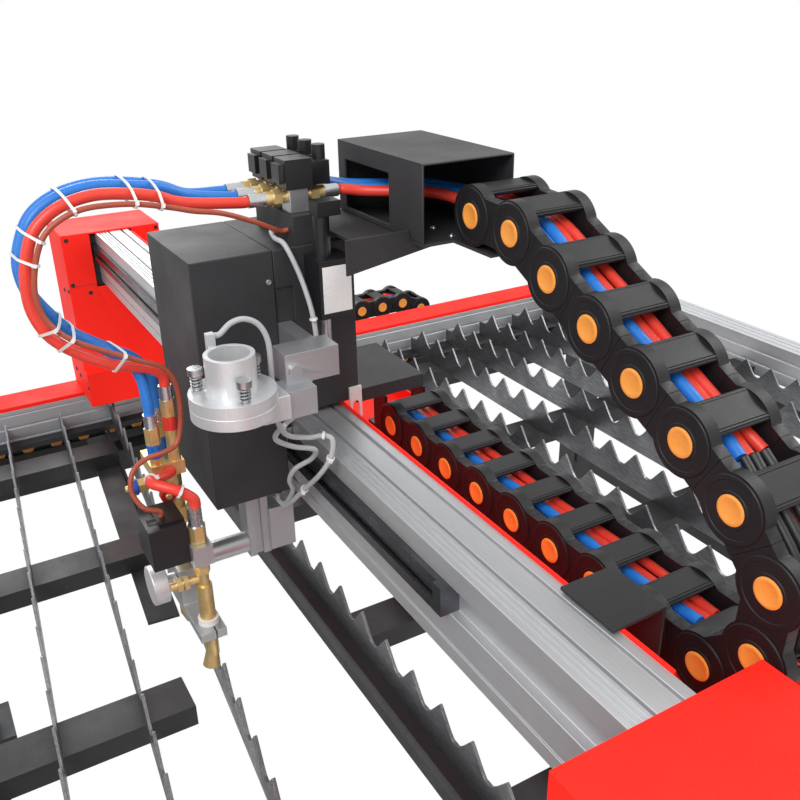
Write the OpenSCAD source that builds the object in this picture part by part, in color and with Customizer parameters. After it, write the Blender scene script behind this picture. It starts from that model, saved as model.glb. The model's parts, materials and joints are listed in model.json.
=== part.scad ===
// CNC plasma and oxy-fuel cutting table: slat bed, gantry, carriage and two torch lifters.
// Millimetres. X runs along the table, Y along the gantry, Z up. The origin is on the floor,
// midway between the anchor holes of the corner feet.

/* [Table] */
// Length of the side rails
table_l = 3370; // [3200:10:3500]
// Clear width between the side rails
bed_w = 1520; // [1480:10:1600]
// Height of the slat tips above the floor
bed_h = 760; // [700:10:820]
// Width of a side rail
rail_w = 70; // [64:1:76]
// Height of a side rail
rail_h = 84; // [80:1:96]
// Thickness of the cover strip on a side rail
strip_t = 8; // [4:1:10]
// Width of an end rail
end_rail_w = 60; // [50:1:75]
// Wall of the steel tubes
tube_t = 4; // [3:0.5:6]
// Distance from a rail's end to the middle of the end leg
leg_inset = 85; // [60:5:110]
// Place of the middle legs along the table
mid_leg_x = -80; // [-100:10:100]
// Height of the levelling gap under a leg
foot_gap = 40; // [30:1:50]
// Side of a floor pad
pad_w = 120; // [110:1:140]
// Thickness of a floor pad
pad_t = 10; // [8:1:14]
// Radius of an anchor hole
anchor_r = 7; // [5:0.5:9]
// Distance of an anchor hole from its leg's axis
anchor_offset = 45; // [42:1:48]

/* [Slats] */
// Spacing of the slats
slat_pitch = 100; // [90:5:110]
// Height of a slat
slat_h = 65; // [60:1:75]
// Thickness of a slat
slat_t = 4; // [3:0.5:5]
// Spacing of the teeth
tooth_pitch = 64; // [50:1:80]
// Depth of the notch between two teeth
tooth_d = 33; // [20:1:38]
// Place of the first square slat
straight_x0 = 416; // [400:1:430]
// How far an askew slat's near end trails its far end
askew_run = 125; // [60:5:130]
// Width of the bars that carry the slats
bed_bar_w = 60; // [40:1:70]
// Height of the bars that carry the slats
bed_bar_h = 30; // [25:1:40]

/* [Gantry] */
// Place of the beam along the table
gantry_x = 343; // [335:1:350]
// Depth of the beam
beam_w = 58; // [54:1:62]
// Height of the beam
beam_h = 93; // [90:1:98]
// Clear height between the slat tips and the beam
beam_rise = 245; // [235:1:260]
// Side of a linear guide rail
guide_w = 15; // [12:1:16]
// Width of an end cover along the table
cover_w = 178; // [170:1:190]
// Depth of an end cover along the beam
cover_d = 130; // [124:1:140]
// Sheet of the covers
sheet_t = 2; // [1:0.5:3]
// Thickness of the gantry's end plates
plate_t = 12; // [8:1:14]
// Radius of a table pinion
x_pinion_r = 15; // [12:0.5:16]
// Radius of the beam pinion
y_pinion_r = 12; // [10:0.5:12]

/* [Energy chains] */
// Spacing of the chain pins
link_pitch = 58; // [54:1:60]
// Height of a chain link
link_h = 55; // [44:1:56]
// Width of a chain
chain_w = 71; // [64:1:72]
// Thickness of a chain's side plate
cheek_t = 11; // [8:1:14]
// Radius of a pin cap
cap_r = 11; // [8:0.5:13]
// Depth of the table chain's lower run below the slat tips
x_chain_drop = 148; // [148:1:156]
// Pin to pin height of the table chain's loop
x_chain_rise = 153; // [153:1:160]

/* [Carriage] */
// Place of the carriage along the beam
carriage_y = -127.5; // [-140:0.5:-110]
// Width of the carriage along the beam
carriage_w = 135; // [130:1:150]
// Depth of the front cover
front_d = 82; // [80:1:90]
// Height of the front cover
front_h = 262; // [250:1:280]
// Height of the rear cover
rear_h = 175; // [170:1:185]
// Depth of the rear cover
rear_d = 86; // [80:1:92]
// Thickness of the carriage plate
saddle_t = 6; // [5:1:8]
// Radius of the lift screws
screw_r = 5; // [4:0.5:6]

/* [Torches] */
// Radius of the plasma torch bore
torch_bore_r = 17.5; // [14:0.5:18]
// Outer radius of the torch collar
collar_r = 21.5; // [21:0.5:24]
// Radius of the collar's flanges
flange_r = 37.5; // [36:0.5:40]
// Thickness of a collar flange
flange_t = 11; // [9:0.5:13]
// Radius of the oxy-fuel torch tube
tube_r = 9; // [8:0.5:10]
// Radius of a gas hose
hose_r = 5.25; // [4.5:0.25:6]
// Radius of a sensor cable
cable_r = 2.5; // [2:0.25:3]
// Radius of the clamp knob
knob_r = 21; // [16:0.5:24]

/* [Hidden] */
$fn = 48;
// Running gap between pieces that pass each other
gap = 0.3;
// Half sizes of the table
rail_in = bed_w / 2;
rail_out = rail_in + rail_w;
half_l = table_l / 2;
rail_z = bed_h - rail_h;
leg_y = rail_in + rail_w / 2;
leg_xs = [-(half_l - leg_inset), mid_leg_x, half_l - leg_inset];
anchor_y = leg_y + anchor_offset;
slat_z = bed_h - slat_h;
// Bars, cross tubes and posts under the slats
bed_bar_ys = [-439, -79, 281, 641];
bed_bar_ends = [190, 190, 249, 277];
cross_z = slat_z - bed_bar_h;
cross_h = 40;
cross_w = 60;
tie_z = 220;
side_tube_z = bed_h - 187;
side_tube_h = 47;
side_tube_w = 50;
ledge_w = 25;
ledge_t = 10;
askew_x0 = 300;
straight_n = floor((half_l - end_rail_w - straight_x0) / slat_pitch);
askew_n = floor((half_l - end_rail_w + askew_x0 - askew_run) / slat_pitch);
// Table guides and racks, on the outer faces of the side rails
guide_z = bed_h - 30;
rack_h = 14;
rack_z = bed_h - 74;
block_w = 39;
block_l = 60;
// Beam and what it carries, from its own faces
beam_z = bed_h + beam_rise;
beam_top = beam_z + beam_h;
front_x = gantry_x - beam_w / 2;
back_x = gantry_x + beam_w / 2;
beam_half = rail_in - 58;
recess_z = beam_z + 45;
recess_h = 27;
recess_d = 9;
cover_x0 = gantry_x - cover_w / 2 - 2;
cover_y = rail_in - 70;
cover_top = beam_top + 1;
shelf_z = bed_h + 20;
plate_y = rail_out + 28;
hang_z = bed_h - 110;
x_pinion_z = rack_z - x_pinion_r - gap;
pinion_l = 14;
motor_w = 57;
motor_l = 50;
// Energy chains
x_chain_y = plate_y + plate_t + 17;
x_chain_low = bed_h - x_chain_drop;
x_chain_top = x_chain_low + x_chain_rise;
x_chain_start = 430;
x_chain_upper_n = 11;
x_chain_lower_n = 20;
y_chain_x = back_x + 73;
y_chain_low = beam_z + 37;
y_chain_start = -166;
y_chain_lower_n = 8;
tray_t = 3;
tray_top = y_chain_low - link_h / 2 - gap;
// Headings of the beam chain's links after its lower run, in degrees
y_chain_bend = [138, 92, 48, 30];
y_chain_slope = [26.5, 26.5, 26.5, 26.5, 3];
// Carriage faces
car_y0 = carriage_y - carriage_w / 2;
car_y1 = carriage_y + carriage_w / 2;
front_x0 = front_x - 10 - front_d;
front_x1 = front_x - 10;
rear_x1 = front_x1 + rear_d;
front_z = beam_z + 11;
rear_z = beam_top + 5;
roof_z = rear_z + rear_h;
saddle_x = front_x - 24;
saddle_shelf_z = beam_top + 8;
y_pinion_x = front_x - recess_d / 2 - 4.7 - y_pinion_r;
y_rack_x = y_pinion_x + y_pinion_r + gap;
y_motor_w = 38;
// Plasma lifter
arm_x = front_x1;
arm_w = 16;
arm_z = roof_z - 97;
arm_h = 23;
plasma_screw = [arm_x + 28, car_y0 + 20];
collar_x = front_x - 98;
collar_y = carriage_y - 177.5;
collar_z = roof_z - 102;
collar_h = 55;
bolt_angles = [30, 150, 270];
bolt_ring_r = 30;
bolt_r = 3;
bolt_l = 30;
drop_x = collar_x + 46;
// Oxy-fuel lifter and torch
oxy_x = front_x - 42;
oxy_w = 25;
oxy_y = carriage_y - 32.5;
oxy_z = beam_z - 74;
oxy_l = 219;
nut_z = beam_z + 115;
oxy_screw_x = oxy_x - 19;
bar_z = beam_z - 57;
bar_r = 11.5;
torch_x = front_x - 128.5;
torch_y = carriage_y - 42.5;
hex_z = beam_z + 1;
inlets = [[torch_x - 15, torch_y - 14, beam_z + 131], [torch_x + 0.5, torch_y + 14, beam_z + 124],
    [torch_x + 3.5, torch_y - 14, beam_z + 157]];
pilot_end_z = beam_z + 52;
side_valve_z = hex_z + 52;
red_knob_z = hex_z + 42;
pilot_x = torch_x + 1;
pilot_y = torch_y - 70;
coil_z = beam_z - 8;
clamp_z = bar_z - 38;
clamp_t = 10;
clamp_w = 27;
knob_y = torch_y - 20;
// Cable box and arm
box_x0 = back_x + 40;
box_x1 = y_chain_x + chain_w - 4;
box_z = roof_z + 10;
box_h = 72;
box_y0 = carriage_y - 164.5;
box_l = 167;
arm_top_z = y_chain_low + 275 - link_h / 2 - gap - 2.7;
// Valves in a row along the beam
valve_n = 3;
valve_pitch = 30;
valve_x = front_x + 28;
valve_y = carriage_y - 42.5;
valve_z = roof_z + 28;
valve_h = 23;
fitting_z = valve_z + 15;
// Hoses from the valves through the cable box into the beam chain, from the first valve's hose end
supply_routes = [[[0, 0, 0], [5, 0, 0], [11, -6, 0], [21, -20, 0], [39, -34, 0], [59, -48, 0], [73, -70, 0], [79, -98, -1],
        [79, -126, -3]],
    [[0, 30, 0], [4, 30, 0], [10, 19, 0], [16, 6, 0], [29, -6, 0], [53, -22, 0], [75, -40, 0], [88, -64, 0],
        [93, -92, -1], [93, -126, -3]],
    [[0, 60, 0], [4, 60, 0], [9, 50, 0], [14, 34, 0], [23, 20, 0], [37, 8, 0], [68, -10, 0], [91, -30, 0],
        [103, -62, 0], [107, -92, -1], [107, -126, -3]]];
// Free cords: points chosen by hand for a carriage at this place, which the cords then follow
cord_home = [343, -127.5, 1005];
cord_shift = [gantry_x, carriage_y, beam_z] - cord_home;
blue_hose_a = [[293.5, -140, 1321], [284, -140, 1321], [249, -142, 1327], [221, -145, 1338], [192, -148, 1344],
    [163, -151, 1348], [138, -154, 1346], [118, -156, 1339], [102, -158, 1327], [92, -159, 1308], [87, -160, 1290],
    [88, -160, 1271], [97, -161, 1252], [116, -163, 1225], [132, -166, 1211], [149, -170, 1199], [163, -175, 1187],
    [169, -180, 1172], [170.5, -184, 1150], [170.5, -184, 1136]];
blue_hose_b = [[293.5, -110, 1321], [284, -110, 1321], [252, -116, 1324], [227, -122, 1335], [197, -128, 1343],
    [166, -132, 1347], [140, -136, 1345], [119, -139, 1338], [102, -141, 1325], [91, -143, 1305], [86, -144, 1286],
    [88, -144, 1266], [96, -144, 1247], [117, -145, 1221], [134, -146, 1207], [153, -148, 1194], [170, -150, 1183],
    [182, -153, 1168], [186, -156, 1150], [186, -156, 1129]];
red_hose = [[293.5, -170, 1321], [284, -170, 1321], [233, -172, 1328], [208, -172, 1337], [185, -172, 1342],
    [156, -173, 1345], [131, -174, 1341], [112, -175, 1332], [98, -176, 1318], [90, -177, 1298], [86, -178, 1279],
    [86, -179, 1256], [93, -181, 1235], [105, -183, 1220], [125, -185, 1205], [147, -186, 1193], [171, -186, 1185],
    [184, -185, 1178], [189, -184, 1170], [189, -184, 1162]];
pilot_route = [[180, -191.5, 1075], [180, -196, 1075], [168, -206, 1078], [157, -212, 1081], [156, -221, 1082],
    [165, -230, 1080], [177, -237, 1075], [187, -240, 1066], [188.5, -240, 1060], [188.5, -240, 1057]];
lead = [[328.7, -178, 1291], [320, -178, 1291], [295, -185, 1304], [262, -190, 1318], [235, -191, 1324],
    [214, -191, 1330], [183, -191, 1337], [151, -191, 1339], [131, -191, 1336], [113, -191, 1327], [102, -192, 1315],
    [94, -192, 1295], [90, -193, 1273], [93, -194, 1253], [102, -196, 1238], [116, -199, 1226], [139, -201, 1213],
    [164, -203, 1200], [184, -203, 1189], [194, -202, 1173], [197, -200, 1151], [195, -200, 1126], [188, -203, 1108],
    [176, -206, 1104], [156, -204, 1100], [142, -208, 1092], [137, -214, 1076], [144, -222, 1060],
    [158, -225, 1053], [158, -225, 1047]];
collar_cable = [[211.5, -283, 1240.5], [217, -283, 1240.5], [227, -283, 1248], [239, -284, 1250], [251, -285, 1243],
    [258, -286, 1227], [259, -286, 1200], [259, -286, 1160], [266, -288, 1135], [286, -292, 1127], [300, -298, 1128],
    [306, -304, 1124], [303, -304, 1106], [296, -292, 1084], [294, -258, 1052], [293, -210, 1008], [293, -188, 1001],
    [293, -183, 1004], [293, -183, 1011]];
top_cable = [[328.7, -150, 1285], [322, -152, 1285], [314, -180, 1285], [316, -200, 1282], [324, -215, 1251],
    [328, -228, 1215], [327, -232, 1180], [317, -236, 1157], [300, -250, 1136], [272, -266, 1130], [262, -274, 1124],
    [276, -280, 1115], [296, -284, 1108], [298, -272, 1092], [284, -262, 1080], [282, -250, 1062], [290, -236, 1040],
    [294, -200, 1004], [293, -174, 1001], [293, -169, 1004],
    [293, -169, 1011]];

// A box between two corners
module box(x0, x1, y0, y1, z0, z1) {
    translate([x0, y0, z0]) cube([x1 - x0, y1 - y0, z1 - z0]);
}

// A round bar along X, Y or Z
module bar_x(x0, x1, y, z, r, fn = 48) {
    translate([x0, y, z]) rotate([0, 90, 0]) cylinder(h = x1 - x0, r = r, $fn = fn);
}
module bar_y(x, y0, y1, z, r, fn = 48) {
    translate([x, y1, z]) rotate([90, 0, 0]) cylinder(h = y1 - y0, r = r, $fn = fn);
}
module bar_z(x, y, z0, z1, r, fn = 48) {
    translate([x, y, z0]) cylinder(h = z1 - z0, r = r, $fn = fn);
}

// A square tube along Y, with open ends
module tube_y(x, w, y0, y1, z0, z1) {
    difference() {
        box(x - w / 2, x + w / 2, y0, y1, z0, z1);
        box(x - w / 2 + tube_t, x + w / 2 - tube_t, y0 - 1, y1 + 1, z0 + tube_t, z1 - tube_t);
    }
}

// Both sides of the table
module both_sides() {
    children();
    mirror([0, 1, 0]) children();
}

// A tube along a list of points, with round sections square to the route
function unit(v) = v / norm(v);
function heading(p, i) = unit(p[min(i + 1, len(p) - 1)] - p[max(i - 1, 0)]);
function side_of(t) = unit(cross(t, abs(t[1]) < 0.8 ? [0, 1, 0] : [1, 0, 0]));
function carried(p, i) = i == 0
    ? side_of(heading(p, 0))
    : let (last = carried(p, i - 1), t = heading(p, i)) unit(last - (last * t) * t);
function ring(p, i, r, n) = let (t = heading(p, i), u = carried(p, i), v = cross(t, u))
    [for (k = [0 : n - 1]) p[i] + r * (cos(360 * k / n) * u + sin(360 * k / n) * v)];
module cord(p, r, n = 8) {
    rings = [for (i = [0 : len(p) - 1]) each ring(p, i, r, n)];
    last = n * (len(p) - 1);
    walls = [for (i = [0 : len(p) - 2], k = [0 : n - 1], s = [0, 1])
        let (a = n * i + k, b = n * i + (k + 1) % n) s == 0 ? [a, b + n, b] : [a, a + n, b + n]];
    start_face = [for (k = [1 : n - 2]) [0, k, k + 1]];
    end_face = [for (k = [1 : n - 2]) [last, last + k + 1, last + k]];
    polyhedron(rings, concat(start_face, walls, end_face));
}

// Energy chain: pins from a start, one heading for each link
function pins(start, turns, i = 0) = i >= len(turns)
    ? [start]
    : concat([start], pins(start + link_pitch * [cos(turns[i]), sin(turns[i])], turns, i + 1));
module link_bar(a, b, from, to, half) {
    d = b - a;
    translate(a) rotate(atan2(d[1], d[0])) translate([from, -half]) square([to - from, 2 * half]);
}
// The side plate's outline between two pins of the chain, cut half a link beyond each
module cheek_outline(p, first, last) {
    for (i = [first : last]) {
        translate(p[i]) circle(r = link_h / 2);
        if (i > 0)
            link_bar(p[i], p[i - 1], 0, link_pitch / 2 - gap / 2, link_h * 0.36);
        if (i < len(p) - 1)
            link_bar(p[i], p[i + 1], 0, link_pitch / 2 - gap / 2, link_h * 0.36);
    }
}
// The cross bars of each link, above and below the cables
module cross_bars(p, first, last) {
    bar_l = 22;
    bar_t = 5;
    for (i = [first : last])
        let (d = p[min(i + 1, len(p) - 1)] - p[max(i - 1, 0)])
        translate(p[i]) rotate(atan2(d[1], d[0])) for (s = [-1, 1])
            translate([-bar_l / 2, s * (link_h / 2 - bar_t / 2 - 3) - bar_t / 2]) square([bar_l, bar_t]);
}
// A stretch of chain standing on its drawing plane
module chain_stretch(p, first, last) {
    cap_t = 1;
    for (s = [0, chain_w - cheek_t])
        translate([0, 0, s]) linear_extrude(cheek_t) cheek_outline(p, first, last);
    translate([0, 0, 1]) linear_extrude(chain_w - 2) cross_bars(p, first, last);
    for (i = [first : last])
        translate([p[i][0], p[i][1], -cap_t]) cylinder(h = cap_t + 1, r = cap_r);
}
module beam_chain_part(first, last) {
    turns = concat([for (i = [1 : y_chain_lower_n]) 180], y_chain_bend, y_chain_slope);
    translate([y_chain_x, 0, 0]) rotate([90, 0, 90])
        chain_stretch(pins([y_chain_start, y_chain_low], turns), first, last);
}
module table_chain_part(first, last) {
    r = x_chain_rise / 2;
    step = 2 * asin(link_pitch / 2 / r);
    bend_n = floor(180 / step);
    lead_in = (180 - (bend_n - 1) * step) / 2;
    bend = [for (i = [0 : bend_n - 1]) -(lead_in + i * step)];
    turns = concat([for (i = [1 : x_chain_upper_n]) 0], bend, [for (i = [1 : x_chain_lower_n]) 180]);
    translate([0, x_chain_y, 0]) mirror([0, 1, 0]) rotate([90, 0, 0])
        chain_stretch(pins([x_chain_start, x_chain_top], turns), first, last);
}
x_bend_last = x_chain_upper_n + 4;

// Table frame

// Square steel legs with a foot plate, one under each rail joint
module legs() {
    color("#1c1c1e")
    both_sides()
    for (x = leg_xs) {
        half = rail_w / 2;
        difference() {
            box(x - half, x + half, leg_y - half, leg_y + half, foot_gap, rail_z);
            box(x - half + tube_t, x + half - tube_t, leg_y - half + tube_t, leg_y + half - tube_t,
                foot_gap + 8, rail_z + 1);
        }
    }
}

// Floor pads with an anchor hole and a levelling screw up to the leg
module levelling_feet() {
    stud_r = 9;
    nut_h = 10;
    color("#3a3a3c")
    both_sides()
    for (x = leg_xs) {
        difference() {
            box(x - pad_w / 2, x + pad_w / 2, leg_y - pad_w / 2, leg_y + pad_w / 2, 0, pad_t);
            bar_z(x, anchor_y, -1, pad_t + 1, anchor_r);
        }
        bar_z(x, leg_y, pad_t - 1, foot_gap, stud_r);
        bar_z(x, leg_y, foot_gap - nut_h, foot_gap, stud_r * 1.7, 6);
    }
}

// Side tubes between the legs, cross tubes, low ties and the posts under the bed bars
module frame_tubes() {
    half = rail_w / 2;
    post_w = 40;
    color("#1c1c1e") {
        both_sides()
        for (i = [0 : len(leg_xs) - 2])
            difference() {
                box(leg_xs[i] + half, leg_xs[i + 1] - half, rail_in, rail_in + side_tube_w,
                    side_tube_z, side_tube_z + side_tube_h);
                box(leg_xs[i] + half - 1, leg_xs[i + 1] - half + 1, rail_in + tube_t,
                    rail_in + side_tube_w - tube_t, side_tube_z + tube_t, side_tube_z + side_tube_h - tube_t);
            }
        for (x = leg_xs)
            tube_y(x, cross_w, -rail_in, rail_in, tie_z, tie_z + cross_h);
        for (x = leg_xs)
            tube_y(x, cross_w, -rail_in, rail_in, cross_z - cross_h, cross_z);
        for (x = [leg_xs[1]], y = bed_bar_ys)
            box(x - post_w / 2, x + post_w / 2, y - post_w / 2, y + post_w / 2, tie_z + cross_h, cross_z - cross_h);
    }
}

// Aluminium side rails with grooves along both faces
module side_rails() {
    color("#a9abad")
    both_sides()
    translate([-half_l, 0, 0]) rotate([90, 0, 90]) linear_extrude(table_l) difference() {
        translate([rail_in, rail_z]) square([rail_w, rail_h]);
        translate([rail_in - 1, bed_h - 38]) square([4, 5]);
        translate([rail_in - 1, bed_h - 62]) square([3, 3]);
        translate([rail_in - 1, bed_h - 11]) square([2.5, 3]);
        translate([rail_out - 4, bed_h - 60]) square([5, 8]);
        translate([rail_in + 8, rail_z + 8]) square([rail_w - 16, rail_h - 22]);
    }
}

// Aluminium end rails between the side rails
module end_rails() {
    color("#a9abad")
    for (s = [-1, 1])
        scale([s, 1, 1])
        translate([half_l - end_rail_w, rail_in, 0]) rotate([90, 0, 0]) linear_extrude(bed_w) difference() {
            translate([0, rail_z]) square([end_rail_w, rail_h]);
            for (z = [bed_h - 30, bed_h - 58])
                translate([-1, z]) square([4, 6]);
            for (x = [12, 30, 46])
                translate([x, bed_h - 3]) square([4, 4]);
            translate([8, rail_z + 8]) square([end_rail_w - 16, rail_h - 18]);
        }
}

// Painted strips on top of the side rails
module rail_strips() {
    color("#e2231a")
    both_sides()
    box(-half_l, half_l, rail_in, rail_out, bed_h, bed_h + strip_t);
}

// Linear guide and rack on each side rail's outer face, the rack drawn at its pitch line
module table_guides() {
    color("#55585c")
    both_sides() {
        box(-half_l + 10, half_l - 10, rail_out, rail_out + guide_w, guide_z, guide_z + guide_w);
        box(-half_l + 10, half_l - 10, rail_out, rail_out + guide_w, rack_z, rack_z + rack_h);
    }
}

// A slat's outline: teeth along its top edge
function tooth(y, h) = [[y - tooth_pitch / 2, h - tooth_d], [y - tooth_pitch * 0.42, h - tooth_d + 1.5],
    [y - tooth_pitch * 0.3, h - tooth_d * 0.72], [y - 1, h], [y + 1, h], [y + tooth_pitch * 0.3, h - tooth_d * 0.72],
    [y + tooth_pitch * 0.42, h - tooth_d + 1.5]];
module slat_outline(l) {
    n = floor((l - 8) / tooth_pitch);
    first = (l - (n - 1) * tooth_pitch) / 2;
    polygon(concat([[0, 0], [0, slat_h - tooth_d]],
        [for (i = [0 : n - 1]) each tooth(first + i * tooth_pitch, slat_h)],
        [[l, slat_h - tooth_d], [l, 0]]));
}
slat_l = bed_w - 6;

// Slats square to the table
module straight_slats() {
    color("#3a3b3d")
    for (i = [0 : straight_n - 1])
        translate([straight_x0 + i * slat_pitch - slat_t / 2, -slat_l / 2, slat_z])
            rotate([90, 0, 90]) linear_extrude(slat_t) slat_outline(slat_l);
}

// Slats set askew to the table
module askew_slats() {
    askew_l = norm([slat_l, askew_run]) - 2;
    color("#3a3b3d")
    for (i = [0 : askew_n - 1])
        translate([askew_x0 - askew_run / 2 - i * slat_pitch, 0, slat_z])
            rotate([0, 0, atan2(slat_l, askew_run) - 90]) translate([-slat_t / 2, -askew_l / 2, 0])
            rotate([90, 0, 90]) linear_extrude(slat_t) slat_outline(askew_l);
}

// Bars along the table in two sections, ledges on the side rails, a square tube under the first
// square slat and one angle bar under the ends of the far bars
module slat_supports() {
    half = half_l - end_rail_w;
    angle_w = 46;
    angle_l = 665;
    angle_t = 4;
    first_tube_w = 40;
    tilt = atan2(slat_l, askew_run) - 90;
    color("#242427") {
        rotate([0, 0, -90])
        for (i = [0 : len(bed_bar_ys) - 1]) {
            tube_y(-bed_bar_ys[i], bed_bar_w, -half, bed_bar_ends[i], cross_z, slat_z);
            tube_y(-bed_bar_ys[i], bed_bar_w, straight_x0 + first_tube_w / 2 - 1, half, cross_z, slat_z);
        }
        tube_y(straight_x0, first_tube_w, -rail_in, rail_in, slat_z - first_tube_w, slat_z);
        both_sides()
        box(-half, half, rail_in - ledge_w, rail_in, slat_z - ledge_t, slat_z);
        intersection() {
            translate([askew_x0 - 56, rail_in + 20, cross_z]) rotate([0, 0, tilt])
                translate([0, -angle_l, 0]) union() {
                    box(0, angle_w, 0, angle_l, -angle_t, 0);
                    box(angle_w - angle_t, angle_w, bed_bar_w + 120, angle_l, -angle_t, bed_bar_h - ledge_t - gap);
                }
            box(-half, half, -rail_in, rail_in, cross_z - angle_t, slat_z);
        }
    }
}

// Sheet channel that the table chain lies in, on brackets from the far rail
module table_chain_tray() {
    z1 = x_chain_low - link_h / 2 - gap;
    x0 = x_chain_start - 540;
    x1 = half_l - 40;
    middle_x = (x0 + x1) / 2;
    y1 = x_chain_y + chain_w + 4;
    color("#2a2a2c") {
        difference() {
            box(x0, x1, x_chain_y - 4, y1, z1 - tray_t, z1 + 20);
            box(x0 - 1, x1 + 1, x_chain_y - 1.5, y1 - 2.5, z1, z1 + 21);
        }
        for (x = [leg_xs[1], leg_xs[2]])
            box(x - 20, x + 20, rail_out, y1, z1 - 26, z1 - tray_t);
        box(middle_x - 20, middle_x + 20, rail_in + side_tube_w, y1, z1 - 26, z1 - tray_t);
    }
}

module table_chain_lower() {
    color("#1a1a1c") table_chain_part(x_bend_last + 1, x_bend_last + x_chain_lower_n - 1);
}

// Gantry

// Extruded aluminium beam with a recess for the guide
module beam() {
    color("#b9bbbd")
    translate([0, beam_half, 0]) rotate([90, 0, 0]) linear_extrude(2 * beam_half) difference() {
        translate([front_x, beam_z]) square([beam_w, beam_h]);
        translate([front_x - 1, recess_z]) square([recess_d + 1, recess_h]);
        translate([front_x - 1, beam_z + 14]) square([3, 3]);
        for (x = [5, 10, 15])
            translate([front_x + x, beam_top - 1.5]) square([2, 3]);
        translate([front_x + 21, beam_top - 4]) square([3, 5]);
        translate([front_x + 44, beam_top - 4]) square([4, 5]);
        translate([back_x - 4, beam_z + 30]) square([5, 8]);
        translate([front_x + 14, beam_z + 6]) square([beam_w - 24, beam_h - 16]);
    }
}

// Linear guide and rack in the beam's recess, the rack drawn at its pitch line
module beam_guide() {
    stop_l = 12;
    y0 = -beam_half + 222;
    y1 = beam_half - 20;
    color("#2b2c2e") {
        box(front_x - 5, front_x + recess_d, y0, y1, recess_z + 12, recess_z + 12 + guide_w);
        box(y_rack_x, front_x + recess_d, y0, y1, recess_z, recess_z + 10);
        for (y = [y0 - stop_l, y1])
            box(front_x - 9, front_x + recess_d, y, y + stop_l, recess_z, recess_z + recess_h);
    }
}

// Sheet cover over a gantry end, with a boot that reaches over the bed
module end_cover() {
    boot_w = 98;
    boot_d = 23;
    boot_h = 69;
    y1 = cover_y + cover_d;
    z0 = bed_h + strip_t + 4;
    color("#e2231a") {
        difference() {
            box(cover_x0, cover_x0 + cover_w, cover_y, y1, z0, cover_top + sheet_t);
            box(cover_x0 + sheet_t, cover_x0 + cover_w - sheet_t, cover_y + sheet_t, y1 - sheet_t,
                z0 - 1, cover_top);
            box(front_x - 12, back_x + 6, cover_y - 1, cover_y + sheet_t + 1, beam_z - 6, cover_top - 1);
            box(cover_x0 - 1, cover_x0 + cover_w + 1, y1 - sheet_t - 1, y1 + 1, z0 - 1, shelf_z + plate_t + 6);
        }
        difference() {
            box(cover_x0, cover_x0 + boot_w, cover_y - boot_d, cover_y, z0, z0 + boot_h);
            box(cover_x0 + sheet_t, cover_x0 + boot_w - sheet_t, cover_y - boot_d + sheet_t, cover_y + 1,
                z0 - 1, z0 + boot_h - sheet_t);
        }
    }
}
module end_covers() {
    both_sides() end_cover();
}

// Bent end plates: upright on the beam's end, shelf over the rail, hanger outside it
module end_plates() {
    half = 60;
    hole_r = 15;
    color("#4a4b4e")
    both_sides()
    difference() {
        union() {
            box(cover_x0 + 10, cover_x0 + cover_w - 10, beam_half, beam_half + plate_t, shelf_z, beam_top - 6);
            box(gantry_x - half, gantry_x + half, beam_half, plate_y + plate_t - 2, shelf_z, shelf_z + plate_t);
            box(gantry_x - half, gantry_x + half, plate_y, plate_y + plate_t - 2, hang_z - 20, shelf_z + plate_t);
        }
        bar_y(gantry_x, plate_y - 1, plate_y + plate_t, x_pinion_z, hole_r);
    }
}

// Bearing blocks that ride the table guides
module table_bearings() {
    half = block_l / 2;
    color("#8e9194")
    both_sides()
    for (s = [-1, 1])
        translate([gantry_x + s * 29.5, 0, 0])
        difference() {
            box(-half + 2, half - 2, rail_out + 3, plate_y, guide_z - 12, guide_z + guide_w + 12);
            box(-half - 1, half + 1, rail_out, rail_out + guide_w + gap, guide_z - gap, guide_z + guide_w + gap);
        }
}

// Motors outside the end plates, shafts into the pinions
module table_motors() {
    y0 = plate_y + plate_t - 2;
    half = motor_w / 2;
    color("#202124")
    both_sides() {
        box(gantry_x - half, gantry_x + half, y0, y0 + motor_l, x_pinion_z - half, x_pinion_z + half);
        bar_y(gantry_x, y0 - 6, y0 + 1, x_pinion_z, 14);
    }
}

// Painted tray behind the beam that carries the beam chain
module beam_chain_tray() {
    half = cover_y - 22;
    x1 = y_chain_x + chain_w + 4;
    color("#d8261c") {
        box(back_x, back_x + tray_t, -half, half, tray_top - tray_t, beam_top + 2);
        box(back_x, x1, -half, half, tray_top - tray_t, tray_top);
        box(x1 - tray_t, x1, -half, half, tray_top - tray_t, tray_top + 20);
    }
}

// Guide bridge and end bracket of the beam chain, and the arm over the table chain's first link
module chain_brackets() {
    bridge_y = -620;
    bridge_l = 57;
    bridge_t = 3;
    x1 = y_chain_x - 1;
    arm_z0 = shelf_z + plate_t;
    color("#303134") {
        box(back_x - 8, x1 - 30, bridge_y, bridge_y + bridge_l, beam_top + 2, beam_top + 2 + bridge_t);
        box(x1 - 30 - bridge_t, x1 - 30, bridge_y, bridge_y + bridge_l, tray_top, beam_top + 2 + bridge_t);
        box(x_chain_start - 85, x_chain_start + 25, plate_y - 26, x_chain_y + chain_w, arm_z0 + 1, arm_z0 + 7);
        box(gantry_x + 2, gantry_x + 58, plate_y - 26, plate_y + 8, arm_z0, arm_z0 + 1);
    }
    color("#9a9c9e") {
        y0 = y_chain_start + link_h / 2 + gap;
        box(y_chain_x + 8, y_chain_x + chain_w - 8, y0, y0 + 45, tray_top, tray_top + 4);
        for (x = [y_chain_x + 8, y_chain_x + chain_w - 11])
            box(x, x + 3, y0, y0 + 30, tray_top, tray_top + 52);
    }
}

module beam_chain_lower() {
    color("#1a1a1c") beam_chain_part(0, y_chain_lower_n - 1);
}

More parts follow.
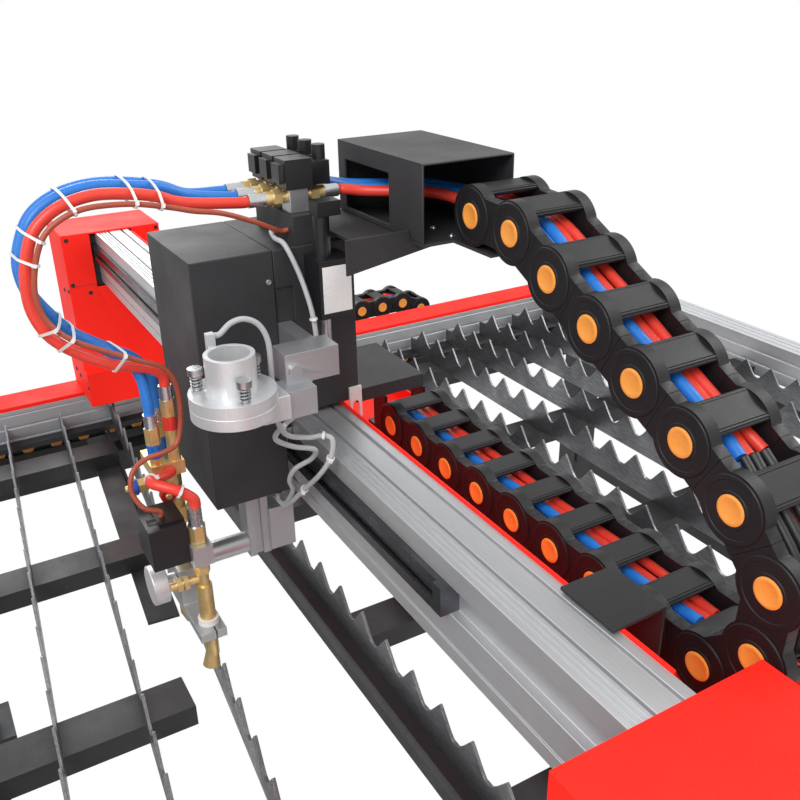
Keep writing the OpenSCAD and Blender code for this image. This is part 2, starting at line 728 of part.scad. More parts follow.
// A pinion with its shaft, drawn at its pitch line
module table_pinion() {
    y0 = rail_out + 1;
    color("#8e9194") {
        bar_y(gantry_x, y0, y0 + pinion_l, x_pinion_z, x_pinion_r);
        bar_y(gantry_x, y0, plate_y + plate_t - 8 - gap, x_pinion_z, 5);
    }
}
module far_table_pinion() { table_pinion(); }
module near_table_pinion() { mirror([0, 1, 0]) table_pinion(); }

module table_chain_bend() {
    color("#1a1a1c") table_chain_part(x_chain_upper_n, x_bend_last);
}
module table_chain_upper() {
    color("#1a1a1c") table_chain_part(0, x_chain_upper_n - 1);
}

// Carriage

// Plate in front of the beam with a shelf over it
module carriage_plate() {
    window = y_pinion_r + 3;
    shelf_x1 = rear_x1 - sheet_t - 2;
    color("#4a4b4e")
    difference() {
        union() {
            box(saddle_x, saddle_x + saddle_t, car_y0 + 5, car_y1 - 5, beam_z + 7, saddle_shelf_z + saddle_t);
            box(saddle_x, shelf_x1, car_y0 + 5, car_y1 - 5, saddle_shelf_z, saddle_shelf_z + saddle_t);
        }
        box(saddle_x - 1, saddle_x + saddle_t + 1, carriage_y - window, carriage_y + window,
            recess_z - 6, recess_z + 16);
        bar_z(y_pinion_x, carriage_y, saddle_shelf_z - 1, saddle_shelf_z + saddle_t + 1, 10);
        box(saddle_x - 1, saddle_x + saddle_t + 1, carriage_y - 10, carriage_y + 10, recess_z,
            saddle_shelf_z + saddle_t + 1);
    }
}

// Bearing blocks on the beam guide and the guide pad of the oxy-fuel slide
module beam_bearings() {
    color("#8e9194") {
        for (y = [car_y0 + 7, car_y1 - 47])
            difference() {
                box(saddle_x + saddle_t, front_x - gap, y, y + 40, recess_z + 11.7 - 8, recess_z + 27 + 8);
                box(front_x - 5 - gap, front_x + 1, y - 1, y + 41, recess_z + 12 - gap,
                    recess_z + 12 + guide_w + gap);
                box(y_rack_x - 1, front_x + 1, y - 1, y + 41, recess_z - 1, recess_z + 12);
            }
        box(oxy_x + oxy_w / 2 + gap, saddle_x, oxy_y - 15, oxy_y + 15, beam_z + 15, beam_z + 95);
    }
}

// Front cover, open at the bottom and towards the beam
module front_cover() {
    color("#2c2c2e")
    difference() {
        box(front_x0, front_x1, car_y0, car_y1, front_z, front_z + front_h);
        box(front_x0 + sheet_t, front_x1 + 1, car_y0 + sheet_t, car_y1 - sheet_t,
            front_z - 1, front_z + front_h - sheet_t);
    }
}

// Rear cover over the beam, with the slot of the plasma lifter
module rear_cover() {
    x0 = front_x1 + gap;
    color("#2c2c2e")
    difference() {
        box(x0, rear_x1, car_y0, car_y1, rear_z, roof_z);
        box(x0 - 1, rear_x1 - sheet_t, car_y0 + sheet_t, car_y1 - sheet_t, rear_z - 1, roof_z - sheet_t);
        box(x0 - 1, arm_x + arm_w + 3, car_y0 - 1, car_y0 + sheet_t + 1, arm_z - 62, arm_z + arm_h + 36);
    }
}

// Shelf behind the rear cover, with a folded lip
module rear_shelf() {
    shelf_w = 84;
    y0 = car_y0 + 5;
    z1 = rear_z + 7;
    lip = 15;
    clip_y = car_y0 - 3;
    color("#3a3a3c") {
        box(rear_x1, rear_x1 + shelf_w, y0, y0 + 110, z1 - tray_t, z1);
        box(rear_x1, rear_x1 + shelf_w, y0, y0 + tray_t, z1 - lip, z1);
        box(rear_x1 + shelf_w - tray_t, rear_x1 + shelf_w, y0, y0 + 110, z1 - lip, z1);
    }
    color("#e8e8e6")
    difference() {
        box(rear_x1 - 12, rear_x1 + 2, clip_y, car_y0, z1 - 30, z1 + 8);
        for (z = [z1 - 23, z1 - 12])
            bar_y(rear_x1 - 5, clip_y - 1, car_y0 + 1, z, 4);
        box(rear_x1 - 9, rear_x1 - 1, clip_y - 1, car_y0 + 1, z1 - 23, z1 - 12);
    }
}

// Beam drive motor and the two lift motors
module carriage_motors() {
    half = y_motor_w / 2;
    top = saddle_shelf_z + saddle_t;
    color("#202124") {
        box(y_pinion_x - half, y_pinion_x + half, carriage_y - half, carriage_y + half, top, top + 45);
        bar_z(y_pinion_x, carriage_y, top - 4, top + 1, 8);
        box(plasma_screw[0] - 17, plasma_screw[0] + 17, plasma_screw[1] - 16, plasma_screw[1] + 18,
            roof_z - 37, roof_z - sheet_t - gap);
        box(oxy_screw_x - 15, oxy_screw_x + 15, oxy_y - 15, oxy_y + 15, roof_z - 56, roof_z - sheet_t - gap);
    }
}

// Bent sheet arm that carries the cable box and the beam chain's moving end
module cable_arm() {
    z0 = arm_top_z;
    t = 3;
    flange_y = collar_y + 34;
    color("#262628") {
        box(back_x - 8, box_x0 + 1, flange_y, box_y0 + box_l, z0, z0 + t);
        box(box_x0, y_chain_x + chain_w, box_y0, box_y0 + box_l, z0, z0 + t);
        box(y_chain_x, y_chain_x + chain_w, box_y0 - 60, box_y0 + 1, z0, z0 + t);
        box(rear_x1 - 26, rear_x1 - 1, car_y0 + 5, box_y0 + box_l, roof_z, z0 + 1);
        translate([0, flange_y + t, 0]) rotate([90, 0, 0]) linear_extrude(t)
            polygon([[back_x - 27, z0 - 21], [back_x + 67, z0 - 6], [y_chain_x + 24, z0 - 6],
                [y_chain_x + 24, z0 + t], [box_x0 - gap, z0 + t], [box_x0 - 2, z0 + 12], [back_x - 27, z0 + 12]]);
        difference() {
            box(valve_x - 13, valve_x + 14, valve_y - 22, valve_y + 74, roof_z, valve_z);
            box(valve_x - 11, valve_x + 12, valve_y - 20, valve_y + 75, roof_z - 1, valve_z - 2);
        }
    }
}

// Sheet box over the cables, open towards the chain, with a window for the hoses
module cable_box() {
    t = 2;
    z0 = arm_top_z + 3;
    color("#1e1e20")
    difference() {
        box(box_x0, box_x1, box_y0, box_y0 + box_l, z0, z0 + box_h);
        box(box_x0 + t, box_x1 - t, box_y0 - 1, box_y0 + box_l - t, z0 - 1, z0 + box_h - t);
        box(box_x0 - 1, box_x0 + t + 1, box_y0 + 62, box_y0 + box_l - 16, z0 + 6, z0 + 54);
    }
}

// Three solenoid valve bodies
module valve_bodies() {
    color("#8c8e90")
    for (i = [0 : valve_n - 1])
        translate([valve_x, valve_y + i * valve_pitch, valve_z])
            box(-10, 10, -10, 10, 0, valve_h);
}

// Coils with their plugs on top of the valves
module valve_coils() {
    z0 = valve_z + valve_h;
    color("#1b1b1d")
    for (i = [0 : valve_n - 1])
        translate([valve_x, valve_y + i * valve_pitch, z0]) {
            box(-14, 14, -13, 13, 0, 28);
            box(13, 33, -11, 11, 2, 24);
            bar_z(27, 0, 23, 38, 6.5);
            box(-19, -13, -9, 9, 6, 24);
        }
}

// Brass hose fittings on both sides of each valve, with crimped ferrules
module hose_fitting(s, l) {
    scale([s * l, 1, 1]) {
        bar_x(0, 0.2, 0, 0, 6);
        bar_x(0.15, 0.36, 0, 0, 8.5, 6);
        bar_x(0.33, 0.56, 0, 0, 7);
        bar_x(0.5, 1, 0, 0, 6.4);
    }
}
module hose_fittings() {
    color("#b9975a")
    for (i = [0 : valve_n - 1])
        translate([valve_x, valve_y + i * valve_pitch, fitting_z]) {
            translate([-10, 0, 0]) hose_fitting(-1, 38.5);
            translate([10, 0, 0]) hose_fitting(1, 35);
        }
}

// Hoses from the valves through the cable box into the beam chain
module supply_hoses() {
    color("#2f7fd6")
    for (p = supply_routes)
        cord([for (q = p) [valve_x + 45 + q[0], valve_y + q[1], fitting_z + q[2]]], hose_r);
}

// Torch height sensor with its plug and its coaxial connector
module height_sensor() {
    y1 = car_y0;
    y0 = y1 - 35;
    x0 = front_x + 22;
    z0 = roof_z - 66;
    color("#202022") {
        box(x0, x0 + 36, y0, y1, z0, z0 + 58);
        bar_z(x0 + 11, y0 + 15, z0 + 57, z0 + 98, 8);
        box(x0 + 4, x0 + 28, y0 + 6, y0 + 24, z0 + 98, z0 + 112);
    }
    color("#c8c9ca") bar_z(x0 + 9, y0 + 12, z0 - 27, z0 + 1, 5.5);
    color("#f2f2f0") box(x0 + 3, x0 + 33, y0 - 0.6, y0 + 1, z0 + 6, z0 + 52);
}

// Beam pinion with its shaft, drawn at its pitch line
module beam_pinion() {
    color("#8e9194") {
        bar_z(y_pinion_x, carriage_y, recess_z + gap, recess_z + 10, y_pinion_r);
        bar_z(y_pinion_x, carriage_y, recess_z + gap, saddle_shelf_z + saddle_t - 4 - gap, 4);
    }
}

// Lift screws under their motors
module plasma_screw_shaft() {
    color("#b0b2b4")
    bar_z(plasma_screw[0], plasma_screw[1], saddle_shelf_z + saddle_t + gap, roof_z - 37 - gap, screw_r);
}
module oxy_screw_shaft() {
    color("#b0b2b4")
    bar_z(oxy_screw_x, oxy_y, beam_z + 12, roof_z - 56 - gap, screw_r);
}

// Beam chain parts that move
module beam_chain_bend() {
    color("#1a1a1c") beam_chain_part(y_chain_lower_n, y_chain_lower_n + 3);
}
module beam_chain_upper() {
    color("#1a1a1c") beam_chain_part(y_chain_lower_n + 4, y_chain_lower_n + 9);
}

// Plasma lifter

// Nut block, arm and clamp blocks out to the collar, and a shield behind the slot of the rear cover
module lift_arm() {
    z1 = arm_z + arm_h;
    y_end = collar_y + 37;
    color("#a8aaac") {
        difference() {
            box(arm_x + gap + 0.2, arm_x + 42, car_y0 + 4, car_y0 + 36, arm_z - 3, z1 + 2);
            bar_z(plasma_screw[0], plasma_screw[1], arm_z - 4, z1 + 3, screw_r + gap);
        }
        box(arm_x + gap + 0.2, arm_x + arm_w, y_end, car_y0 + 5, arm_z, z1);
        box(arm_x + 1, arm_x + 26, car_y0 + sheet_t + gap, car_y0 + 4 - gap, arm_z - 10, z1 + 36);
        box(arm_x - 36, arm_x + arm_w, y_end - 29, y_end, arm_z + 4, z1 + 10);
        box(drop_x, drop_x + 28, y_end - 44, y_end - 16, collar_z - 16, arm_z + 5);
        bar_y(drop_x + 14, y_end - 34, y_end - 28, arm_z + 18, 6);
    }
}

// Lower collar flange with the lug that carries it
module collar_base() {
    color("#b4b6b8")
    difference() {
        union() {
            bar_z(collar_x, collar_y, collar_z, collar_z + flange_t, flange_r);
            box(collar_x + 20, drop_x, collar_y - 14, collar_y + 14, collar_z - 12, collar_z + flange_t);
        }
        bar_z(collar_x, collar_y, collar_z - 13, collar_z + flange_t + 1, torch_bore_r + 1.5);
    }
}

// Upper collar flange with the tube that grips the torch
module collar_top() {
    color("#c2c4c6")
    difference() {
        union() {
            bar_z(collar_x, collar_y, collar_z + flange_t, collar_z + 2 * flange_t, flange_r);
            bar_z(collar_x, collar_y, collar_z + flange_t, collar_z + collar_h, collar_r);
            box(collar_x - 11.5, collar_x - 4.5, collar_y + 18.3, collar_y + 25.3,
                collar_z + collar_h - 14, collar_z + collar_h + 12);
        }
        bar_z(collar_x, collar_y, collar_z, collar_z + collar_h + 1, torch_bore_r);
        for (a = bolt_angles)
            translate([collar_x + bolt_ring_r * cos(a), collar_y + bolt_ring_r * sin(a), collar_z])
                cylinder(h = 40, r = bolt_r + gap);
    }
}

// Bolts that hold the two flanges together and let the upper one lift
module collar_bolts() {
    z0 = collar_z + flange_t;
    color("#d0d1d3")
    for (a = bolt_angles)
        translate([collar_x + bolt_ring_r * cos(a), collar_y + bolt_ring_r * sin(a), z0]) {
            cylinder(h = bolt_l, r = bolt_r);
            translate([0, 0, bolt_l - 5]) cylinder(h = 6, r = 6.5);
        }
}

// Coil springs that press the upper flange down
module collar_springs() {
    turns = 4;
    wire_r = 0.8;
    coil_r = bolt_r + gap + wire_r + 0.6;
    z0 = collar_z + 2 * flange_t + wire_r + gap;
    rise = (bolt_l - 5 - flange_t) - 2 * (wire_r + gap);
    coil = [for (i = [0 : 8 * turns])
        [coil_r * cos(45 * i), coil_r * sin(45 * i), z0 + rise * i / (8 * turns)]];
    least = min([for (i = [0 : 8 * turns - 7], k = [7 : 9])
        if (i + k <= 8 * turns) norm(coil[i] - coil[i + k]) - 2 * wire_r]);
    echo("collar spring, least gap to itself in mm", least);
    color("#9a9ca0")
    for (a = bolt_angles)
        translate([collar_x + bolt_ring_r * cos(a), collar_y + bolt_ring_r * sin(a), 0])
            cord(coil, wire_r, 6);
}

// Oxy-fuel lifter and torch

// Slide bar with the nut of its lift screw and the plate at its foot
module oxy_slide_bar() {
    half = oxy_w / 2;
    color("#a8aaac") {
        difference() {
            box(oxy_x - half + gap, oxy_x + half, oxy_y - half, oxy_y + half, oxy_z, oxy_z + oxy_l);
            box(oxy_x - 4, oxy_x + 4, oxy_y - half - 1, oxy_y - half + 4, oxy_z - 1, oxy_z + oxy_l + 1);
        }
        difference() {
            box(oxy_screw_x - 11, oxy_x - half + 1, oxy_y - 11, oxy_y + 11, nut_z, nut_z + 20);
            bar_z(oxy_screw_x, oxy_y, nut_z - 1, nut_z + 21, screw_r + gap);
        }
        box(oxy_x + half - 1, front_x - 2, oxy_y - 18, oxy_y + 18, oxy_z + 5, oxy_z + 57);
    }
}

// Chromed bar from the slide to the torch clamp
module torch_bar() {
    color("#c8c9ca")
    bar_x(torch_x + clamp_w / 2, oxy_x - oxy_w / 2 + gap, torch_y + 5, bar_z, bar_r);
}

// Clamp: split bar for the two torches and the block on the chromed bar
module torch_clamp() {
    x0 = torch_x - clamp_w / 2;
    x1 = torch_x + clamp_w / 2;
    z1 = clamp_z + clamp_t;
    color("#aeb0b2")
    difference() {
        union() {
            box(x0, x1, pilot_y - 18, torch_y + 20, clamp_z, z1);
            box(x0, x1, knob_y - 12, torch_y + 20, z1 - 1, bar_z + 14);
        }
        bar_z(torch_x, torch_y, clamp_z - 1, bar_z + 15, tube_r + gap);
        bar_z(pilot_x, pilot_y, clamp_z - 1, z1 + 1, 7 + gap);
        box(pilot_x + 1, pilot_x + 2.6, pilot_y - 19, pilot_y, clamp_z - 1, z1 + 1);
        bar_x(x0 - 1, x0 + 4, knob_y, bar_z, 4 + gap);
    }
}

// A hose end: cone, marked sleeve, hexagon nut and crimped ferrule up to the hose
module inlet(x, y, z0, z1) {
    translate([x, y, 0]) {
        translate([0, 0, z0]) cylinder(h = z1 - z0 - 45, r = 6);
        translate([0, 0, z1 - 46]) cylinder(h = 15, r = 7);
        translate([0, 0, z1 - 32]) cylinder(h = 18, r = 7.5, $fn = 6);
        translate([0, 0, z1 - 15]) cylinder(h = 15, r = 6.4);
    }
}

// Oxy-fuel torch: inlets, head, side valves, hexagon nut, tube and nozzle
module oxy_torch() {
    nozzle_z = beam_z - 130;
    color("#b9975a")
    difference() {
        union() {
            bar_z(torch_x, torch_y, nozzle_z + 26, hex_z + 1, tube_r);
            bar_z(torch_x, torch_y, nozzle_z + 12, nozzle_z + 27, 10);
            translate([torch_x, torch_y, nozzle_z]) cylinder(h = 12.5, r1 = 5, r2 = 10);
            bar_z(torch_x, torch_y, hex_z, hex_z + 18, 15, 6);
            bar_z(torch_x, torch_y, hex_z + 17, hex_z + 70, 10.5);
            box(torch_x - 22, torch_x + 11, torch_y - 21, torch_y + 21, hex_z + 62, hex_z + 76);
            inlet(inlets[0][0], inlets[0][1], hex_z + 62, inlets[0][2]);
            inlet(inlets[1][0], inlets[1][1], hex_z + 62, inlets[1][2]);
            inlet(inlets[2][0], inlets[2][1], hex_z + 62, inlets[2][2]);
            bar_x(torch_x - 27, torch_x, torch_y - 6, side_valve_z, 5.5);
            bar_x(torch_x - 35, torch_x - 26, torch_y - 6, side_valve_z, 8, 6);
            bar_y(torch_x - 10, torch_y - 16, torch_y - 1, red_knob_z, 6);
        }
        bar_z(torch_x, torch_y, nozzle_z - 1, nozzle_z + 12, 1.5);
    }
}

// Igniter coil beside the block that holds the pilot torch
module igniter_coil() {
    x1 = pilot_x - 10;
    x0 = x1 - 36;
    color("#1b1b1d") {
        box(x0, x1, pilot_y - 4, pilot_y + 44, coil_z + 3, coil_z + 47);
        box(x0 + 12, x1, pilot_y + 2, pilot_y + 40, coil_z + 46, coil_z + 50);
        bar_x(x0 + 4, x0 + 14, pilot_y + 15, coil_z + 44, 6);
    }
    color("#8c8e90")
    difference() {
        box(x1, pilot_x + 10, pilot_y - 14, pilot_y + 14, coil_z, coil_z + 21.5);
        bar_z(pilot_x, pilot_y, coil_z - 1, coil_z + 23, 5 + gap);
    }
}

// Pilot torch through the igniter block and the clamp, with its side valve and bent nozzle
module pilot_torch() {
    z0 = coil_z;
    bar_top = clamp_z + clamp_t;
    color("#b9975a") {
        bar_z(pilot_x, pilot_y, clamp_z - 20, z0 + 40, 5);
        bar_z(pilot_x, pilot_y, clamp_z - 30, bar_top + 20, 7);
        bar_z(pilot_x, pilot_y, bar_top + 6, z0 - 30, 8);
        bar_z(pilot_x, pilot_y, z0 - 35, z0 - 10, 6);
        bar_z(pilot_x, pilot_y, z0 - 15, z0 - gap, 8.5, 6);
        bar_x(pilot_x - 33, pilot_x, pilot_y, z0 - 22, 4);
        bar_x(pilot_x - 20, pilot_x - 15, pilot_y, z0 - 22, 7.5, 6);
        bar_x(pilot_x - 27, pilot_x - 22, pilot_y, z0 - 22, 7.5, 6);
        bar_z(pilot_x, pilot_y, z0 + 21.5 + gap, z0 + 40, 9, 6);
        translate([pilot_x, pilot_y, z0 + 39]) cylinder(h = pilot_end_z - z0 - 39, r = 7);
        translate([pilot_x, pilot_y, clamp_z - 24]) rotate([0, -172, 0]) cylinder(h = 20, r1 = 6, r2 = 9);
    }
    color("#f0f0ee") bar_z(pilot_x, pilot_y, bar_top + gap, bar_top + 7, 10.5);
}

// Short hose from the torch head down to the pilot torch
module pilot_hose() {
    color("#d8342c") translate(cord_shift) cord(pilot_route, hose_r);
}

// Knob that tightens the torch clamp
module clamp_knob() {
    x1 = torch_x - clamp_w / 2;
    color("#c2c4c6") {
        bar_x(x1 - 28, x1 - 12, knob_y, bar_z, knob_r);
        bar_x(x1 - 13, x1 - gap, knob_y, bar_z, 7);
        bar_x(x1 - 13, x1 + 3, knob_y, bar_z, 4);
    }
}

// Blue oxygen knob beside the torch head and red fuel knob in front of it
module blue_knob() {
    color("#1a4fb0") bar_x(torch_x - 41, torch_x - 35 - gap, torch_y - 6, side_valve_z, 8.5);
    color("#b9975a") bar_x(torch_x - 47, torch_x - 40, torch_y - 6, side_valve_z, 3);
}
module red_knob() {
    color("#c8201c") bar_y(torch_x - 10, torch_y - 24, torch_y - 16 - gap, red_knob_z, 8);
    color("#b9975a") bar_y(torch_x - 10, torch_y - 26, torch_y - 23, red_knob_z, 3);
}

// Hoses that hang in a loop from the valves to the torch
module torch_hoses() {
    color("#2f7fd6") translate(cord_shift) cord(blue_hose_a, hose_r);
    color("#2f7fd6") translate(cord_shift) cord(blue_hose_b, hose_r);
    color("#d8342c") translate(cord_shift) cord(red_hose, hose_r);
}

// Igniter lead along the hoses and the grey cables of the sensors
module signal_cables() {
    color("#8a3020") translate(cord_shift) cord(lead, cable_r);
    color("#b8babc") translate(cord_shift) cord(collar_cable, cable_r);
    color("#b8babc") translate(cord_shift) cord(top_cable, cable_r);
}

legs();
levelling_feet();
frame_tubes();
side_rails();
end_rails();
rail_strips();
table_guides();
straight_slats();
askew_slats();
slat_supports();
table_chain_tray();
table_chain_lower();
beam();
beam_guide();
end_covers();
end_plates();
table_bearings();
table_motors();
beam_chain_tray();
chain_brackets();
beam_chain_lower();
far_table_pinion();
near_table_pinion();
table_chain_bend();
table_chain_upper();
carriage_plate();
beam_bearings();
front_cover();
rear_cover();
rear_shelf();
carriage_motors();
cable_arm();
cable_box();
valve_bodies();
valve_coils();
hose_fittings();
supply_hoses();
height_sensor();
beam_pinion();
plasma_screw_shaft();
oxy_screw_shaft();
beam_chain_bend();
beam_chain_upper();
lift_arm();
collar_base();
collar_top();
collar_bolts();
collar_springs();
oxy_slide_bar();
torch_bar();
oxy_torch();
torch_clamp();
igniter_coil();
pilot_torch();
pilot_hose();
clamp_knob();
blue_knob();
red_knob();
torch_hoses();
signal_cables();
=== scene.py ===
"""A plasma and oxy-fuel cutting table with gantry, carriage and two torches, seen close to its carriage."""
import json
import math

import bmesh
import bpy
import numpy as np
from mathutils import Matrix, Vector
from mathutils.bvhtree import BVHTree


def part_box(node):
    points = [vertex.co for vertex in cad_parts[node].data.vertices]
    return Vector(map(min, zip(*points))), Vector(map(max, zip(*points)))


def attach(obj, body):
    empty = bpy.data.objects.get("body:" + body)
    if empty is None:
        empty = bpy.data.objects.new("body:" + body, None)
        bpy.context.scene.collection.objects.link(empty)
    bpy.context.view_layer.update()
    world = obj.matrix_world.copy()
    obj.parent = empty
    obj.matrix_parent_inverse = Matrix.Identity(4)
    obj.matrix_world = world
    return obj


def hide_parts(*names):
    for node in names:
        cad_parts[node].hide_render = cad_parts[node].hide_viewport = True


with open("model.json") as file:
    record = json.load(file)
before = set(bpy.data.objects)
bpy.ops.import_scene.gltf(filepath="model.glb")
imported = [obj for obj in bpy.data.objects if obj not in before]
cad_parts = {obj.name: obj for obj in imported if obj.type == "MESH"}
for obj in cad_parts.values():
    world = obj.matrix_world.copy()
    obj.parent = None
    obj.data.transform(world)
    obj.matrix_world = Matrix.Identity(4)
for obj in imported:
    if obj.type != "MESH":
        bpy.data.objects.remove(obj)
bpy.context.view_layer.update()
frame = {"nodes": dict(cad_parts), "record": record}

# Camera. The photograph was taken from above the near rail, looking down across the carriage, with the
# lens and the angles worked out from the square slats and the rails.
MM = 0.001
camera_place = Vector((0.0, -0.970, 1.510))
camera_heading = math.radians(29.61)
camera_pitch = math.radians(25.359)
camera_roll = math.radians(-1.0136)
focal_pixels = 892.976
picture_pixels = 800
sensor_mm = 36.0
forward = Vector((
    math.sin(camera_heading) * math.cos(camera_pitch),
    math.cos(camera_heading) * math.cos(camera_pitch),
    -math.sin(camera_pitch),
))
level_right = Vector((math.cos(camera_heading), -math.sin(camera_heading), 0.0))
level_up = level_right.cross(forward)
picture_right = level_right * math.cos(camera_roll) + level_up * math.sin(camera_roll)
picture_up = picture_right.cross(forward)
camera_data = bpy.data.cameras.new("camera")
camera_data.sensor_width = sensor_mm
camera_data.lens = focal_pixels / picture_pixels * sensor_mm
camera_data.clip_start = 0.02
camera_data.clip_end = 60.0
camera = bpy.data.objects.new("camera", camera_data)
bpy.context.scene.collection.objects.link(camera)
turn = Matrix((picture_right, picture_up, -forward)).transposed()
camera.matrix_world = Matrix.Translation(camera_place) @ turn.to_4x4()
bpy.context.scene.camera = camera


# Stage. A plain pale floor and soft studio light from above. The background and the floor are white to
# the camera, and metal shows the white background too.


def add_node(tree, kind, inputs=None, **settings):
    """Adds one shader node with its settings, and fills inputs with plain values or with other sockets."""
    made = tree.nodes.new(kind)
    for key, value in settings.items():
        setattr(made, key, value)
    for key, value in (inputs or {}).items():
        if isinstance(value, bpy.types.NodeSocket):
            tree.links.new(value, made.inputs[key])
        else:
            made.inputs[key].default_value = value
    return made


world = bpy.data.worlds.new("studio")
world.use_nodes = True
sky = world.node_tree
sky.nodes.clear()
rays = add_node(sky, "ShaderNodeLightPath").outputs
seen = add_node(sky, "ShaderNodeMath", {0: rays["Is Camera Ray"], 1: rays["Is Glossy Ray"]},
                operation="MAXIMUM").outputs[0]
sky_light = 0.62
strength = add_node(sky, "ShaderNodeMapRange", {"Value": seen, "To Min": sky_light, "To Max": 1.0}).outputs[0]
glow = add_node(sky, "ShaderNodeBackground", {"Color": (1, 1, 1, 1), "Strength": strength})
add_node(sky, "ShaderNodeOutputWorld", {"Surface": glow.outputs[0]})
bpy.context.scene.world = world
bpy.context.scene.view_settings.view_transform = "Standard"


def area_lamp(name, place, target, size, power):
    """A square soft box at a place in metres, turned to its target."""
    data = bpy.data.lights.new(name, "AREA")
    data.size = size
    data.energy = power
    lamp = bpy.data.objects.new(name, data)
    bpy.context.scene.collection.objects.link(lamp)
    direction = Vector(target) - Vector(place)
    lamp.matrix_world = Matrix.Translation(place) @ direction.to_track_quat("-Z", "Y").to_matrix().to_4x4()


area_lamp("key_box", (-1.6, -1.9, 3.4), (0.3, 0.0, 0.9), size=1.6, power=70)
area_lamp("fill_box", (3.2, -0.6, 3.0), (0.4, 0.2, 0.9), size=2.0, power=45)
area_lamp("rim_box", (0.6, 3.4, 2.8), (0.3, 0.0, 1.0), size=1.6, power=40)

floor_paint = bpy.data.materials.new("studio_floor")
floor_paint.use_nodes = True
floor_tree = floor_paint.node_tree
floor_tree.nodes.clear()
floor_rays = add_node(floor_tree, "ShaderNodeLightPath").outputs
floor_coat = add_node(floor_tree, "ShaderNodeBsdfDiffuse", {"Color": (0.93, 0.93, 0.93, 1.0)})
floor_glow = add_node(floor_tree, "ShaderNodeEmission", {"Color": (1, 1, 1, 1), "Strength": 1.0})
floor_mix = add_node(floor_tree, "ShaderNodeMixShader", {0: floor_rays["Is Camera Ray"]})
floor_tree.links.new(floor_coat.outputs[0], floor_mix.inputs[1])
floor_tree.links.new(floor_glow.outputs[0], floor_mix.inputs[2])
add_node(floor_tree, "ShaderNodeOutputMaterial", {"Surface": floor_mix.outputs[0]})
floor_half = 14.0
floor_level = -0.0005
floor_mesh = bpy.data.meshes.new("floor")
corners = [(x * floor_half, y * floor_half, floor_level) for x, y in ((-1, -1), (1, -1), (1, 1), (-1, 1))]
floor_mesh.from_pydata(corners, [], [(0, 1, 2, 3)])
floor_mesh.materials.append(floor_paint)
floor = bpy.data.objects.new("floor", floor_mesh)
bpy.context.scene.collection.objects.link(floor)


# Legs and welded frame. Square steel tubes cut, welded and powder coated black; each leg stands on a
# foot plate with a levelling screw and a zinc-plated pad that is bolted to the floor.
bodies = frame["record"]["behaviour"]["bodies"]
body_of = {node: body for body, members in bodies.items() for node in members}
finished = {}


def linear(hex_colour):
    """The linear RGBA of an sRGB hex colour, by the sRGB curve for each of its three parts."""
    parts = [int(hex_colour[i:i + 2], 16) / 255 for i in (0, 2, 4)]
    return [p / 12.92 if p <= 0.04045 else ((p + 0.055) / 1.055) ** 2.4 for p in parts] + [1.0]


def finish(name, light, dark, grain_mm, roughness, spread=0.08, bump_mm=0.02, metallic=0.0,
           stretch=(1, 1, 1), patch_mm=60.0, **sockets):
    """A finish of two near colours. A grain of the real texture's size in millimetres, drawn coarser where
    that is too fine to show and stretched where the surface was drawn or brushed, and broad patches mix the
    colours and move the roughness. The grain also makes the bump."""
    made = bpy.data.materials.new(name)
    made.use_nodes = True
    tree = made.node_tree
    tree.nodes.clear()
    place = add_node(tree, "ShaderNodeTexCoord").outputs["Object"]
    mix_low, mix_high = 0.7, 1.3
    scaled = add_node(tree, "ShaderNodeMapping", {"Vector": place, "Scale": stretch}).outputs[0]
    grain = add_node(tree, "ShaderNodeTexNoise", {
        "Vector": scaled, "Scale": 1000.0 / grain_mm, "Detail": 3.0, "Roughness": 0.6}).outputs[0]
    patch = add_node(tree, "ShaderNodeTexNoise", {
        "Vector": place, "Scale": 1000.0 / patch_mm, "Detail": 4.0, "Roughness": 0.55}).outputs[0]
    blend = add_node(tree, "ShaderNodeMath", {0: grain, 1: patch}, operation="ADD").outputs[0]
    amount = add_node(tree, "ShaderNodeMapRange", {
        "Value": blend, "From Min": mix_low, "From Max": mix_high}).outputs[0]
    colour = add_node(tree, "ShaderNodeMix", {
        "Factor": amount, 6: linear(dark), 7: linear(light)}, data_type="RGBA").outputs[2]
    rough = add_node(tree, "ShaderNodeMapRange", {
        "Value": blend, "From Min": mix_low, "From Max": mix_high,
        "To Min": roughness + spread, "To Max": roughness - spread}).outputs[0]
    bump = add_node(tree, "ShaderNodeBump", {
        "Height": grain, "Strength": 0.6, "Distance": bump_mm * MM}).outputs[0]
    shader = add_node(tree, "ShaderNodeBsdfPrincipled", {
        "Base Color": colour, "Roughness": rough, "Normal": bump, "Metallic": metallic, **sockets})
    add_node(tree, "ShaderNodeOutputMaterial", {"Surface": shader.outputs[0]})
    return made


merge_mm = 0.01
flat_degrees = 1.5
shade_sharp_degrees = 32
edge_sharp_degrees = 40


